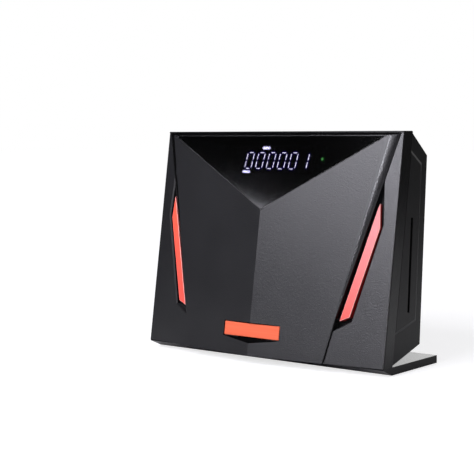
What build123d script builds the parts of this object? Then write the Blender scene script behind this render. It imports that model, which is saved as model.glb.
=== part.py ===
"""Upright satellite receiver: a faceted prow front on a leaning frame, a rear housing and a stand.

Millimetres. X runs along the front, the front faces -Y and Z is up. The origin is on the floor,
under the middle of the whole object's box.
"""

import os
from math import atan, cos, degrees, hypot, radians, sin, tan

from build123d import *

os.makedirs("parts", exist_ok=True)

# ------------------------------------------------------------------ driving dimensions: the body
body_width = 180.0        # across the front frame
body_height = 142.0       # floor to the top of the frame
overall_depth = 74.0      # tip of the prow to the back edge of the stand
body_foot = 42.5          # face to rear corner, measured along the bottom of the body
belly_rise = 14.7         # floor to the rear bottom corner
shoulder_drop = 14.6      # top of the frame to the rear top corner, where the chamfer begins
top_flat = 9.4            # flat land between the face and the chamfer
face_lean = 8.8           # degrees the face leans back
rear_lean = 3.45          # degrees the rear wall leans back
rim_depth = 10.5          # depth of the front frame, square to the face
frame_wall = 2.0
housing_wall = 2.2
seam_bevel = 0.35         # V groove where the frame meets the housing
joint_gap = 0.2           # shadow gap between panels that meet edge to edge

# ------------------------------------------------------------------ driving dimensions: the front
seat_depth = 1.0          # panels sit this far below the datum plane of the face
bulkhead = 2.0            # web inside the frame that carries the front panels
lip_proud = 0.2           # top lip of the frame, above the datum plane
lip_root = 0.7            # thickness of the lip where it meets the seat
top_lip = 2.93            # upper edge of the facets to the top of the frame
ridge_height = 11.5       # ridge of the shield, above the datum plane
shield_fall = 0.10        # drop of the shield per millimetre towards the sides
shield_skin = 2.4
shield_inset = 38.4       # foot of the shield to the side of the frame
shield_head_inset = 7.86  # upper corners of the shield to the sides of the frame
bevel_start = 27.0        # where the bevel along the shield begins to widen
bevel_least = 0.3
bevel_most = 5.9
bevel_drop = 2.9
bevel_sag = 0.1           # bulge of the bevel, as a share of its chord
wing_fall = 0.13          # rise of a wing per millimetre from the frame's edge
wing_inset = 0.15
window_height = 47.2      # lowest point of the display window to its upper edge
window_rim = 0.5
window_thickness = 1.8
display_drop = 15.4       # upper edge of the panels to the middle of the display
plate_width = 42.0
plate_low = 9.8
plate_high = 18.2
plate_level = 9.3         # face of the name plate, above the datum plane
plate_thickness = 1.3
plate_gap = 0.5
ramp_low = 6.2            # lower end of the ramp below the name plate

# ------------------------------------------------------------------ driving dimensions: the light bars
# An inset is measured from the side of the frame and a drop from the upper edge of the panels.
pocket_foot_up = 19.7         # where a wing's pocket begins, next to the shield
pocket_corner_inset = 22.8
pocket_corner_up = 25.8
pocket_shoulder_inset = 8.2
pocket_shoulder_drop = 52.2
pocket_tip_drop = 28.8
pocket_bevel = 0.8
bar_foot_inset = 30.4
bar_foot_up = 25.1
bar_corner_inset = 24.2
bar_corner_up = 27.9
bar_shoulder_inset = 9.8
bar_shoulder_drop = 54.1
bar_tip_inset = 11.0
bar_tip_drop = 39.6
bar_neck_inset = 12.3
bar_neck_drop = 43.4
bar_recess = 0.3              # face of a bar below the face of its wing

# ------------------------------------------------------------------ driving dimensions: the stand
foot_proud = 0.5
stand_thickness = 4.8
stand_nose = 0.7          # upright land on the stand's front edge
stand_setback = 9.7       # underside starts this far behind the face
foot_radius = 5.0
foot_recess = 1.0

# ------------------------------------------------------------------ driving dimensions: the back
board_depth = 12.5        # rear wall to the main board
board_thickness = 1.6
board_low = 9.0
board_gap = 5.0           # upper edge of the main board to the middle of the cover screws
board_margin = 6.0        # side edge of the main board to the side of the body
socket_line = 23.0        # height of the row of sockets on the rear wall
slot_depth = 16.0         # rear wall to the middle of the card slot
slot_low = 19.6
slot_length = 56.0        # takes a smart card 54 wide
slot_width = 2.4
pad_proud = 0.8           # raised area on each side
pad_slope = 2.0           # width of the slope round it
pad_margin = 6.0
reader_length = 58.0      # side of the body to the inner end of the card reader
reader_to_chip = 28.0     # inner end of the card reader to the middle of the processor
stand_screw_inset = 28.0

# ------------------------------------------------------------------ reference planes and points
lean = radians(face_lean)
back_lean = radians(rear_lean)
deck = foot_proud + stand_thickness
half_width = body_width / 2
face_y = -overall_depth / 2 + ridge_height / cos(lean) - joint_gap * tan(lean)
stand_back = overall_depth / 2
shoulder_height = body_height - shoulder_drop
panel_top = (body_height - deck) / cos(lean) - top_lip
shield_foot_half = half_width - shield_inset
shield_flare = (half_width - shield_head_inset - shield_foot_half) / panel_top
apex_height = panel_top - window_height
display_height = panel_top - display_drop
wall_length = (shoulder_height - belly_rise) / cos(back_lean)
slot_high = slot_low + slot_length

# On the face plane x runs along the front, y up the slope and z straight out of the face.
face = Plane(origin=(0, face_y, deck), x_dir=(1, 0, 0), z_dir=(0, -cos(lean), sin(lean)))
# On the slope plane x runs up the slope and y out of the face, for profiles swept along the front.
slope = Plane(origin=face.origin, x_dir=face.y_dir, z_dir=(1, 0, 0))
# On the back plane x runs along the front, y up the rear wall and z forwards into the body.
back = Plane(
    origin=(0, face_y + body_foot, belly_rise),
    x_dir=(1, 0, 0),
    z_dir=(0, -cos(back_lean), sin(back_lean)),
)


def face_y_at(height, level):
    """Y at a height of the plane that lies `level` out of the face."""
    return face_y + (height - deck) * tan(lean) - level / cos(lean)


def face_point(up, level):
    """Y and Z of a point `up` the slope and `level` out of the face."""
    point = face.from_local_coords((0, up, level))
    return (point.Y, point.Z)


def back_point(up, depth):
    """Y and Z of a point `up` the rear wall and `depth` inside it."""
    point = back.from_local_coords((0, up, depth))
    return (point.Y, point.Z)


def girth(up):
    """Plane square to the slope, with y out of the face."""
    return Plane(origin=face.from_local_coords((0, up, 0)), x_dir=(-1, 0, 0), z_dir=face.y_dir)


def shield_edge(up):
    """Half width of the flat part of the shield."""
    return shield_foot_half + shield_flare * up


def bevel_share(up):
    """How far the bevel has opened, from 0 at its start to 1 at the top."""
    return max(0.0, (up - bevel_start) / (panel_top - bevel_start))


def shield_side(up):
    """Half width of the shield with its bevel."""
    return shield_edge(up) + bevel_least + (bevel_most - bevel_least) * bevel_share(up)


shoulder_y = back_point(wall_length, 0)[0]
top_back_y = face_y_at(body_height, 0) + top_flat
chamfer_run = (shoulder_y - top_back_y) / (body_height - shoulder_height)
seam_drop = (rim_depth / cos(lean) - top_flat) / (chamfer_run + tan(lean))
seam_top = body_height - max(seam_drop, 0.0)
seat = face.offset(-seat_depth)
overrun = 4.0                    # the front panels are drawn this far past their ends, then cut
bulkhead_back = seat_depth + bulkhead

# The brow plane cuts the panels along the top. It rises from the upper edge of the facets to the
# root of the lip, so that the panels reach nearly to the top of the frame at the sides.
brow_level = ridge_height - shield_fall * shield_edge(panel_top)
brow_root = (body_height - lip_root - deck + seat_depth * sin(lean)) / cos(lean)
brow_slope = (brow_root - panel_top) / (brow_level + seat_depth)
brow = Plane(
    origin=face.from_local_coords((0, panel_top, brow_level)),
    x_dir=(1, 0, 0),
    z_dir=face.y_dir + face.z_dir * brow_slope,
)


def brow_at(level):
    """How far up the slope the lip begins, `level` out of the face."""
    return panel_top + brow_slope * (brow_level - level) + joint_gap


# ------------------------------------------------------------------ outlines of the light bars
pocket_corner = (half_width - pocket_corner_inset, pocket_corner_up)
pocket_shoulder = (half_width - pocket_shoulder_inset, panel_top - pocket_shoulder_drop)
pocket_tip_up = panel_top - pocket_tip_drop
bar_foot = (half_width - bar_foot_inset, bar_foot_up)
bar_corner = (half_width - bar_corner_inset, bar_corner_up)
bar_shoulder = (half_width - bar_shoulder_inset, panel_top - bar_shoulder_drop)
bar_tip = (half_width - bar_tip_inset, panel_top - bar_tip_drop)
bar_neck = (half_width - bar_neck_inset, panel_top - bar_neck_drop)
bar_slope = (bar_shoulder[0] - bar_corner[0]) / (bar_shoulder[1] - bar_corner[1])
bar_tilt = degrees(atan(bar_slope))
lamp_slot_width = 3.6
lamp_slot_short = 10.4           # difference between a bar's outer edge and the slot behind it
# Middle of a bar, halfway along its outer edge.
bar_up = (bar_corner[1] + bar_shoulder[1]) / 2
bar_inner = bar_foot[0] + (bar_neck[0] - bar_foot[0]) * (bar_up - bar_foot[1]) / (bar_neck[1] - bar_foot[1])
bar_middle = ((bar_inner + (bar_corner[0] + bar_shoulder[0]) / 2) / 2, bar_up)
# The slot that lights a bar ends short of the screws, which the bar hides.
bar_slot = (lamp_slot_width, bar_shoulder[1] - bar_corner[1] - lamp_slot_short)

# ------------------------------------------------------------------ front frame
display_view = (80.0, 18.0)      # opening behind the window
module_size = (56.0, 17.0)
post_inset = 8.5                 # cover screws to the sides and the upper end of the rear wall
post_low = 4.0
post_high = wall_length - post_inset
cover_posts = [(way * (half_width - post_inset), up) for way in (-1, 1) for up in (post_low, post_high)]
post_radius = 3.5
post_meet = 20.0                 # depth at which housing posts meet the frame's bosses
cover_screw_bite = 6.0           # length of a cover screw in the frame
screw_radius = 1.5
plate_screw_radius = 1.0
small_head = (2.0, 1.2)            # radius and height of the small screws' heads
screw_clearance = 0.2
pilot_clearance = 0.05
display_screws = [(way * 46.5, display_height + rise) for way in (-1, 1) for rise in (-10.0, 10.0)]
lamp_screw_reach = bar_slot[1] / 2 + 4.0     # middle of a lamp board to its screws
lamp_board_size = (9.0, 2 * lamp_screw_reach + 6.0)
lamp_places = [
    Location((way * bar_middle[0], bar_middle[1], 0), (0, 0, -way * bar_tilt)) for way in (-1, 1)
]
lamp_screws = [
    place * Location((0, reach, 0))
    for place in lamp_places
    for reach in (-lamp_screw_reach, lamp_screw_reach)
]

with BuildPart() as front_frame:
    inside_low = deck + frame_wall
    inside_high = body_height - frame_wall
    with BuildSketch(Plane.YZ):
        Polygon(
            (face_y_at(deck, -seat_depth), deck),
            (face_y_at(deck, -rim_depth), deck),
            (face_y_at(seam_top, -rim_depth), seam_top),
            (top_back_y, body_height),
            (face_y_at(body_height, lip_proud), body_height),
            face_point(brow_at(lip_proud), lip_proud),
            face_point(brow_at(-seat_depth), -seat_depth),
            align=None,
        )
    extrude(amount=half_width, both=True)
    with BuildSketch(Plane.YZ):
        Polygon(
            (face_y_at(inside_low, -bulkhead_back), inside_low),
            (face_y_at(inside_low, -2 * rim_depth), inside_low),
            (face_y_at(inside_high, -2 * rim_depth), inside_high),
            (face_y_at(inside_high, -bulkhead_back), inside_high),
            align=None,
        )
    extrude(amount=half_width - frame_wall, both=True, mode=Mode.SUBTRACT)
    # Bevelled rear edge, the frame's half of the seam.
    seam_edges = front_frame.edges().filter_by(
        lambda e: abs(face.to_local_coords(e.center()).Z + rim_depth) < 0.01
        and abs(e.center().X) > half_width - 0.01
    )
    chamfer(seam_edges, seam_bevel)
    # Bosses that take the cover screws.
    with BuildSketch(back.offset(post_meet)):
        with Locations(*cover_posts):
            Circle(post_radius)
    extrude(until=Until.NEXT)
    with BuildSketch(seat):
        with Locations((0, display_height)):
            Rectangle(display_view[0] + 2, display_view[1] + 2)
        with Locations(*lamp_places):
            Rectangle(*bar_slot)
        with Locations(*display_screws, *lamp_screws):
            Circle(plate_screw_radius + pilot_clearance)
    extrude(amount=-bulkhead, mode=Mode.SUBTRACT)
    # Pilot holes.
    with BuildSketch(back.offset(post_meet)):
        with Locations(*cover_posts):
            Circle(screw_radius + pilot_clearance)
    extrude(amount=cover_screw_bite + 1.0, mode=Mode.SUBTRACT)
front_frame.part.label = "front_frame"
export_step(front_frame.part, "parts/front_frame.step")

# ------------------------------------------------------------------ shield panel
window_half = shield_edge(panel_top)
window_fall = shield_fall * window_half / (panel_top - apex_height)
window_tilt = atan(window_fall)
window_length = hypot(panel_top - apex_height, shield_fall * window_half)
window = Plane(
    origin=face.from_local_coords((0, apex_height, ridge_height)),
    x_dir=(1, 0, 0),
    z_dir=face.z_dir * cos(window_tilt) + face.y_dir * sin(window_tilt),
)
shield_cuts = [
    (Plane.XY.offset(deck + joint_gap), Keep.TOP),
    (brow, Keep.BOTTOM),
    (window, Keep.BOTTOM),
]


def shield_outline(up):
    """Corners of the shield's outer section on one side: facet edge, middle and end of the bevel."""
    edge = shield_edge(up)
    side = shield_side(up)
    level = ridge_height - shield_fall * edge
    drop = bevel_least + (bevel_drop - bevel_least) * bevel_share(up)
    bulge = (
        (edge + side) / 2 + bevel_sag * drop,
        level - drop / 2 + bevel_sag * (side - edge),
    )
    return (edge, level), bulge, (side, level - drop)


def shield_hollow(up):
    """Corners of the shield's inner section, one skin below the facets."""
    edge = shield_edge(up) - shield_skin
    level = ridge_height - shield_skin - shield_fall * edge
    return [
        (-edge, -seat_depth),
        (-edge, level),
        (0, ridge_height - shield_skin),
        (edge, level),
        (edge, -seat_depth),
    ]


with BuildPart() as shield_core:
    for up in (2 * shield_skin, panel_top - shield_skin):
        with BuildSketch(girth(up)):
            Polygon(*shield_hollow(up), align=None)
    loft(ruled=True)
    split(bisect_by=window.offset(-window_thickness - shield_skin), keep=Keep.BOTTOM)

with BuildPart() as shield_panel:
    for up in (-overrun, bevel_start, panel_top + overrun):
        corner, bulge, end = shield_outline(up)
        with BuildSketch(girth(up)):
            with BuildLine():
                for way in (-1, 1):
                    Line((0, ridge_height), (way * corner[0], corner[1]))
                    ThreePointArc(
                        (way * corner[0], corner[1]), (way * bulge[0], bulge[1]), (way * end[0], end[1])
                    )
                    Line((way * end[0], end[1]), (way * end[0], -seat_depth))
                Line((-end[0], -seat_depth), (end[0], -seat_depth))
            make_face()
    loft(ruled=True)
    for plane, keep in shield_cuts:
        split(bisect_by=plane, keep=keep)
    add(shield_core.part, mode=Mode.SUBTRACT)
    # Pocket of the display window.
    with BuildSketch(window):
        Polygon((0, 0), (window_half, window_length), (-window_half, window_length), align=None)
        offset(amount=-window_rim, kind=Kind.INTERSECTION, mode=Mode.REPLACE)
    extrude(amount=-window_thickness, mode=Mode.SUBTRACT)
    with BuildSketch(face.offset(-seat_depth)):
        with Locations((0, display_height)):
            Rectangle(*display_view)
    extrude(amount=seat_depth + ridge_height, mode=Mode.SUBTRACT)
    # Pocket of the name plate, with a ramp down from the ridge.
    ramp_slope = (plate_low - ramp_low) / (ridge_height - plate_level)
    pocket_top = ridge_height + 1
    with BuildSketch(slope):
        Polygon(
            (plate_low - plate_gap, plate_level - plate_thickness),
            (plate_high + plate_gap, plate_level - plate_thickness),
            (plate_high + plate_gap, pocket_top),
            (ramp_low - ramp_slope, pocket_top),
            (plate_low - plate_gap, plate_level),
            align=None,
        )
    extrude(amount=plate_width / 2 + plate_gap, both=True, mode=Mode.SUBTRACT)
shield_panel.part.label = "shield_panel"
export_step(shield_panel.part, "parts/shield_panel.step")

# ------------------------------------------------------------------ display window
window_play = 0.05
with BuildPart() as display_window:
    with BuildSketch(window):
        Polygon((0, 0), (window_half, window_length), (-window_half, window_length), align=None)
        offset(amount=-window_rim - window_play, kind=Kind.INTERSECTION, mode=Mode.REPLACE)
    extrude(amount=-window_thickness)
display_window.part.label = "display_window"
export_step(display_window.part, "parts/display_window.step")

# ------------------------------------------------------------------ name plate, left bare
with BuildPart() as name_plate:
    with BuildSketch(face.offset(plate_level - plate_thickness)):
        with Locations((0, (plate_low + plate_high) / 2)):
            RectangleRounded(plate_width, plate_high - plate_low, 0.6)
    extrude(amount=plate_thickness)
    chamfer(name_plate.faces().sort_by(lambda f: face.to_local_coords(f.center()).Z)[-1].edges(), 0.25)
name_plate.part.label = "name_plate"
export_step(name_plate.part, "parts/name_plate.step")

# ------------------------------------------------------------------ wings and light bars
wing_edge = half_width - wing_inset

for way, name in ((-1, "left"), (1, "right")):
    facet = Plane(
        origin=face.from_local_coords((way * half_width, 0, 0)),
        x_dir=face.y_dir,
        z_dir=face.z_dir + face.x_dir * (way * wing_fall),
    )
    with BuildPart() as wing:
        inner = [
            (shield_side(up) + joint_gap, up)
            for up in (-overrun, pocket_foot_up, pocket_tip_up, panel_top + overrun)
        ]
        with BuildSketch(seat):
            Polygon(
                *[
                    (way * x, up)
                    for x, up in (
                        inner[0],
                        inner[1],
                        pocket_corner,
                        pocket_shoulder,
                        inner[2],
                        inner[3],
                        (wing_edge, panel_top + overrun),
                        (wing_edge, -overrun),
                    )
                ],
                align=None,
            )
        extrude(amount=ridge_height)
        split(bisect_by=facet, keep=Keep.BOTTOM)
        split(bisect_by=brow, keep=Keep.BOTTOM)
        split(bisect_by=Plane.XY.offset(deck + joint_gap), keep=Keep.TOP)
        top_face = wing.faces().sort_by(lambda f: (f.center() - facet.origin).dot(facet.z_dir))[-1]
        mouth = top_face.edges().filter_by(
            lambda e: pocket_foot_up < face.to_local_coords(e.center()).Y < pocket_tip_up
            and pocket_corner[0] - 6 < way * face.to_local_coords(e.center()).X < wing_edge - 4
        )
        chamfer(mouth, pocket_bevel)
    wing.part.label = f"wing_{name}"
    export_step(wing.part, f"parts/wing_{name}.step")

    with BuildPart() as light_bar:
        with BuildSketch(seat):
            Polygon(
                *[
                    (way * x, up)
                    for x, up in (
                        bar_foot,
                        bar_neck,
                        bar_tip,
                        bar_shoulder,
                        bar_corner,
                    )
                ],
                align=None,
            )
        extrude(amount=ridge_height)
        split(bisect_by=facet.offset(-bar_recess), keep=Keep.BOTTOM)
    light_bar.part.label = f"light_bar_{name}"
    export_step(light_bar.part, f"parts/light_bar_{name}.step")

# ------------------------------------------------------------------ rear housing
housing_half = half_width - pad_proud
housing_foot = deck + 0.3
belly_plane = Plane(
    origin=(0, face_y + body_foot, belly_rise),
    x_dir=(1, 0, 0),
    z_dir=(
        0,
        -(belly_rise - housing_foot),
        face_y + body_foot - face_y_at(housing_foot, -rim_depth),
    ),
)
# On the flank plane x runs forwards from the rear wall and y up it.
flank = Plane(origin=back.origin, x_dir=back.z_dir, z_dir=(-1, 0, 0))
pad_low = 14.0
pad_high = wall_length - 4.9
pad_front_low = 22.5
pad_front_high = body_height - 9.0
board_high = post_high - board_gap
board_half = half_width - board_margin
reader_left = half_width - reader_length
board_screws = [
    (-board_half + 6.0, board_low + 35.0),
    (-board_half + 6.0, board_high - 5.0),
    (board_half - 6.0, board_high - 5.0),
    (reader_left - 4.5, board_low + 35.0),
]
board_screw_radius = 1.3
board_screw_length = 7.0
socket_plate_size = (body_width - 20.0, 30.0)
socket_plate_thickness = 1.2
socket_border = 5.0               # end of the socket plate to its opening
socket_opening = (socket_plate_size[0] - 2 * socket_border, 25.0)
plate_post_radius = 2.4
plate_post_length = 5.0
plate_screw_x = socket_plate_size[0] / 2 - plate_post_radius
plate_screws = [(way * plate_screw_x, socket_line + rise) for way in (-1, 1) for rise in (-11.5, 11.5)]
cover_recess = 1.8
cover_head_radius = 2.9
stand_screw_x = half_width - stand_screw_inset
stand_rows = (face_y + 18.4, face_y + body_foot - 7.1)
stand_screws = [(way * stand_screw_x, y) for way in (-1, 1) for y in stand_rows]
stand_pad_radius = 4.0
stand_screw_bite = 8.0            # length of a stand screw above the belly
grille_middle = wall_length - 38.0
grille_pitch = (30.0, 6.0)
grille_slot = (24.0, 2.2)
grille_count = (5, 7)
vent_slot = (3.0, 13.0)
vent_pitch = 7.0
top_vents = 21
belly_vents = 13
belly_vent_back = 16.0            # rear corner to the middle of the slots in the belly


def belly_at(y):
    """Height of the outside of the belly at a distance along the body."""
    front_end = face_y_at(housing_foot, -rim_depth)
    share = (y - front_end) / (face_y + body_foot - front_end)
    return housing_foot + share * (belly_rise - housing_foot)


with BuildPart() as flank_pad:
    with BuildSketch(Plane.YZ.offset(housing_half)):
        Polygon(
            back_point(pad_low, pad_margin),
            back_point(pad_high, pad_margin),
            (face_y_at(pad_front_high, -rim_depth + 3), pad_front_high),
            (face_y_at(pad_front_low, -rim_depth + 3), pad_front_low),
            align=None,
        )
    extrude(amount=pad_proud, taper=degrees(atan(pad_slope / pad_proud)))
    split(bisect_by=face.offset(-rim_depth), keep=Keep.BOTTOM)

with BuildPart() as rear_housing:
    with BuildSketch(Plane.YZ):
        Polygon(
            (face_y_at(housing_foot, -rim_depth), housing_foot),
            (face_y_at(seam_top, -rim_depth), seam_top),
            (shoulder_y, shoulder_height),
            (face_y + body_foot, belly_rise),
            align=None,
        )
    extrude(amount=housing_half, both=True)
    mouth = rear_housing.faces().sort_by(lambda f: face.to_local_coords(f.center()).Z)[-1]
    offset(amount=-housing_wall, openings=mouth, kind=Kind.INTERSECTION)
    add(flank_pad.part)
    add(mirror(flank_pad.part, about=Plane.YZ, mode=Mode.PRIVATE))
    # Posts for the cover screws, board screws, socket plate and stand screws.
    with BuildSketch(back.offset(cover_recess)):
        with Locations(*cover_posts):
            Circle(post_radius)
    extrude(amount=post_meet - cover_recess)
    with BuildSketch(back.offset(housing_wall)):
        with Locations(*board_screws):
            Circle(post_radius)
    extrude(amount=board_depth - housing_wall)
    with BuildSketch(back.offset(socket_plate_thickness)):
        with Locations(*plate_screws):
            Circle(plate_post_radius)
    extrude(amount=plate_post_length)
    for x, y in stand_screws:
        with BuildSketch(Plane.XY.offset(belly_at(y) + 1.0)):
            with Locations((x, y)):
                Circle(stand_pad_radius)
        extrude(amount=stand_screw_bite)
    split(bisect_by=belly_plane, keep=Keep.TOP)
    # Rebate and opening of the socket plate.
    with BuildSketch(back):
        with Locations((0, socket_line)):
            RectangleRounded(*[side + joint_gap for side in socket_plate_size], 1.0)
    extrude(amount=socket_plate_thickness, mode=Mode.SUBTRACT)
    with BuildSketch(back):
        with Locations((0, socket_line)):
            Rectangle(*socket_opening)
    extrude(amount=housing_wall, mode=Mode.SUBTRACT)
    # Card slot in the flank.
    with BuildSketch(flank.offset(-half_width)):
        with Locations((slot_depth, (slot_low + slot_high) / 2)):
            Rectangle(slot_width, slot_high - slot_low)
    extrude(amount=housing_wall + pad_proud, mode=Mode.SUBTRACT)
    # Grille in the rear wall and slots along the chamfer and the belly.
    with BuildSketch(back):
        with Locations((0, grille_middle)):
            with GridLocations(*grille_pitch, *grille_count):
                Rectangle(*grille_slot)
    extrude(amount=housing_wall, mode=Mode.SUBTRACT)
    chamfer_middle = (0, (shoulder_y + top_back_y) / 2, (shoulder_height + body_height) / 2)
    chamfer_plane = Plane(
        origin=chamfer_middle,
        x_dir=(1, 0, 0),
        z_dir=(0, body_height - shoulder_height, shoulder_y - top_back_y),
    )
    with BuildSketch(chamfer_plane):
        with GridLocations(vent_pitch, 0, top_vents, 1):
            Rectangle(*vent_slot)
    extrude(amount=-housing_wall, mode=Mode.SUBTRACT)
    with BuildSketch(belly_plane):
        with Locations((0, -belly_vent_back)):
            with GridLocations(vent_pitch, 0, belly_vents, 1):
                Rectangle(*vent_slot)
    extrude(amount=housing_wall, mode=Mode.SUBTRACT)
    # Screw holes.
    with BuildSketch(back):
        with Locations(*cover_posts):
            Circle(cover_head_radius + joint_gap)
    extrude(amount=cover_recess, mode=Mode.SUBTRACT)
    with BuildSketch(back):
        with Locations(*cover_posts):
            Circle(screw_radius + screw_clearance)
    extrude(amount=post_meet, mode=Mode.SUBTRACT)
    with BuildSketch(back.offset(board_depth)):
        with Locations(*board_screws):
            Circle(board_screw_radius + pilot_clearance)
    extrude(amount=-board_screw_length, mode=Mode.SUBTRACT)
    with BuildSketch(back):
        with Locations(*plate_screws):
            Circle(plate_screw_radius + pilot_clearance)
    extrude(amount=socket_plate_thickness + plate_post_length, mode=Mode.SUBTRACT)
    for x, y in stand_screws:
        with BuildSketch(Plane.XY.offset(deck)):
            with Locations((x, y)):
                Circle(screw_radius + pilot_clearance)
        extrude(amount=belly_at(y) + stand_screw_bite - deck, mode=Mode.SUBTRACT)
rear_housing.part.label = "rear_housing"
export_step(rear_housing.part, "parts/rear_housing.step")

# ------------------------------------------------------------------ socket plate
socket_play = 0.15
row_half = socket_plate_size[0] / 2
switch_x = 0.775 * row_half
inlet_x = 0.55 * row_half
lan_x = 0.3375 * row_half
usb_x = 0.1 * row_half
hdmi_x = -0.1375 * row_half
jack_x = -0.325 * row_half
optical_x = -0.48125 * row_half
lnb_x = (-0.65 * row_half, -0.8375 * row_half)
switch_body = (10.0, 15.2)
inlet_body = (9.0, 11.0)
lan_body = (16.0, 13.5)
usb_body = (13.1, 5.7)
hdmi_body = (15.0, 5.6)
jack_radius = 4.0
optical_body = (9.7, 10.0)
thread_radius = 4.7625            # 3/8 inch aerial thread
lnb_hex = 11.0
socket_bodies = [
    (switch_x, switch_body),
    (inlet_x, inlet_body),
    (lan_x, lan_body),
    (usb_x, usb_body),
    (hdmi_x, hdmi_body),
    (optical_x, optical_body),
]

with BuildPart() as socket_plate:
    with BuildSketch(back):
        with Locations((0, socket_line)):
            RectangleRounded(*socket_plate_size, 1.0)
        for x, (width, height) in socket_bodies:
            with Locations((x, socket_line)):
                Rectangle(width + 2 * socket_play, height + 2 * socket_play, mode=Mode.SUBTRACT)
        with Locations((jack_x, socket_line)):
            Circle(jack_radius + socket_play, mode=Mode.SUBTRACT)
        with Locations(*[(x, socket_line) for x in lnb_x]):
            Circle(thread_radius + socket_play, mode=Mode.SUBTRACT)
        with Locations(*plate_screws):
            Circle(plate_screw_radius + screw_clearance, mode=Mode.SUBTRACT)
    extrude(amount=socket_plate_thickness)
socket_plate.part.label = "socket_plate"
export_step(socket_plate.part, "parts/socket_plate.step")

# ------------------------------------------------------------------ mains switch
# On the profile plane x runs up the rear wall and y forwards into the body.
profile = Plane(origin=back.origin, x_dir=back.y_dir, z_dir=(1, 0, 0))
switch_rim = (12.0, 17.4, 1.0)
switch_cavity = (8.4, 13.4, 8.0)
rocker_width = 8.0
rocker_radius = 6.5
rocker_pivot = 3.0                # depth of the rocker's axis
rocker_face = 3.4                 # axis to the middle of the rocker's face
rocker_tilt = 8.0                 # degrees either side of level
rocker_underside = 3.0
rocker_pin = 0.9
pin_play = 0.05

with BuildPart() as switch_housing:
    with BuildSketch(back):
        with Locations((switch_x, socket_line)):
            Rectangle(*switch_body)
    extrude(amount=board_depth)
    with BuildSketch(back):
        with Locations((switch_x, socket_line)):
            RectangleRounded(switch_rim[0], switch_rim[1], 0.8)
    extrude(amount=-switch_rim[2])
    outer = switch_housing.faces().sort_by(lambda f: back.to_local_coords(f.center()).Z)[0]
    chamfer(outer.edges(), 0.3)
    with BuildSketch(back.offset(-switch_rim[2])):
        with Locations((switch_x, socket_line)):
            Rectangle(switch_cavity[0], switch_cavity[1])
    extrude(amount=switch_cavity[2] + switch_rim[2], mode=Mode.SUBTRACT)
    with BuildSketch(profile.offset(switch_x)):
        with Locations((socket_line, rocker_pivot)):
            Circle(rocker_pin + pin_play)
    extrude(amount=switch_body[0] / 2, both=True, mode=Mode.SUBTRACT)
switch_housing.part.label = "switch_housing"
export_step(switch_housing.part, "parts/switch_housing.step")

pivot_place = profile * Location((socket_line, rocker_pivot, switch_x), (0, 0, -rocker_tilt))
rocker_plane = Plane(pivot_place)
tilt_rise = tan(radians(rocker_tilt)) * rocker_radius
with BuildPart() as switch_rocker:
    with BuildSketch(rocker_plane):
        Circle(rocker_radius)
        Polygon(
            (-rocker_radius, rocker_underside),
            (-rocker_radius, -rocker_face - tilt_rise),
            (0, -rocker_face),
            (rocker_radius, -rocker_face - tilt_rise),
            (rocker_radius, rocker_underside),
            align=None,
            mode=Mode.INTERSECT,
        )
    extrude(amount=rocker_width / 2, both=True)
    with BuildSketch(rocker_plane):
        Circle(rocker_pin)
    extrude(amount=switch_body[0] / 2 - 0.2, both=True)
switch_rocker.part.label = "switch_rocker"
export_step(switch_rocker.part, "parts/switch_rocker.step")

# ------------------------------------------------------------------ power inlet
inlet_bore = 3.2
inlet_pin_radius = 1.0
inlet_depth = 10.0
with BuildPart() as power_inlet:
    with BuildSketch(back.offset(-0.3)):
        with Locations((inlet_x, socket_line)):
            Rectangle(*inlet_body)
            Circle(inlet_bore, mode=Mode.SUBTRACT)
    extrude(amount=inlet_depth)
    with BuildSketch(back.offset(inlet_depth - 0.3)):
        with Locations((inlet_x, socket_line)):
            Rectangle(*inlet_body)
    extrude(amount=board_depth - inlet_depth + 0.3)
power_inlet.part.label = "power_inlet"
export_step(power_inlet.part, "parts/power_inlet.step")

with BuildPart() as inlet_pin:
    with BuildSketch(back.offset(inlet_depth - 0.3)):
        with Locations((inlet_x, socket_line)):
            Circle(inlet_pin_radius)
    extrude(amount=-inlet_depth + 1.5)
    tip = inlet_pin.faces().sort_by(lambda f: back.to_local_coords(f.center()).Z)[0]
    chamfer(tip.edges(), 0.4)
inlet_pin.part.label = "inlet_pin"
export_step(inlet_pin.part, "parts/inlet_pin.step")

# ------------------------------------------------------------------ network socket
lan_cavity = (11.8, 8.2)
lan_notch = (6.0, 2.2)
lan_depth = 11.0
lan_low = socket_line - 5.0       # floor of the cavity, up the rear wall
with BuildPart() as lan_socket:
    with BuildSketch(back.offset(-0.3)):
        with Locations((lan_x, socket_line)):
            Rectangle(*lan_body)
    extrude(amount=board_depth + 0.3)
    with BuildSketch(back.offset(-0.3)):
        with Locations((lan_x, lan_low)):
            Rectangle(*lan_cavity, align=(Align.CENTER, Align.MIN), mode=Mode.ADD)
        with Locations((lan_x, lan_low + lan_cavity[1] - 0.1)):
            Rectangle(*lan_notch, align=(Align.CENTER, Align.MIN))
    extrude(amount=lan_depth, mode=Mode.SUBTRACT)
lan_socket.part.label = "lan_socket"
export_step(lan_socket.part, "parts/lan_socket.step")

with BuildPart() as lan_contacts:
    with BuildSketch(profile.offset(lan_x)):
        with BuildLine():
            FilletPolyline(
                (lan_low + 0.2, 1.5),
                (lan_low + 0.2, 3.0),
                (lan_low + 2.4, lan_depth - 1.5),
                (lan_low + 1.8, lan_depth - 0.4),
                radius=0.4,
            )
        trace(line_width=0.4)
    extrude(amount=0.25, both=True)
    bar = lan_contacts.part
    for step in range(8):
        add(bar.moved(Location(((step - 3.5) * 1.2, 0, 0))))
    add(bar, mode=Mode.SUBTRACT)
lan_contacts.part.label = "lan_contacts"
export_step(lan_contacts.part, "parts/lan_contacts.step")

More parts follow.
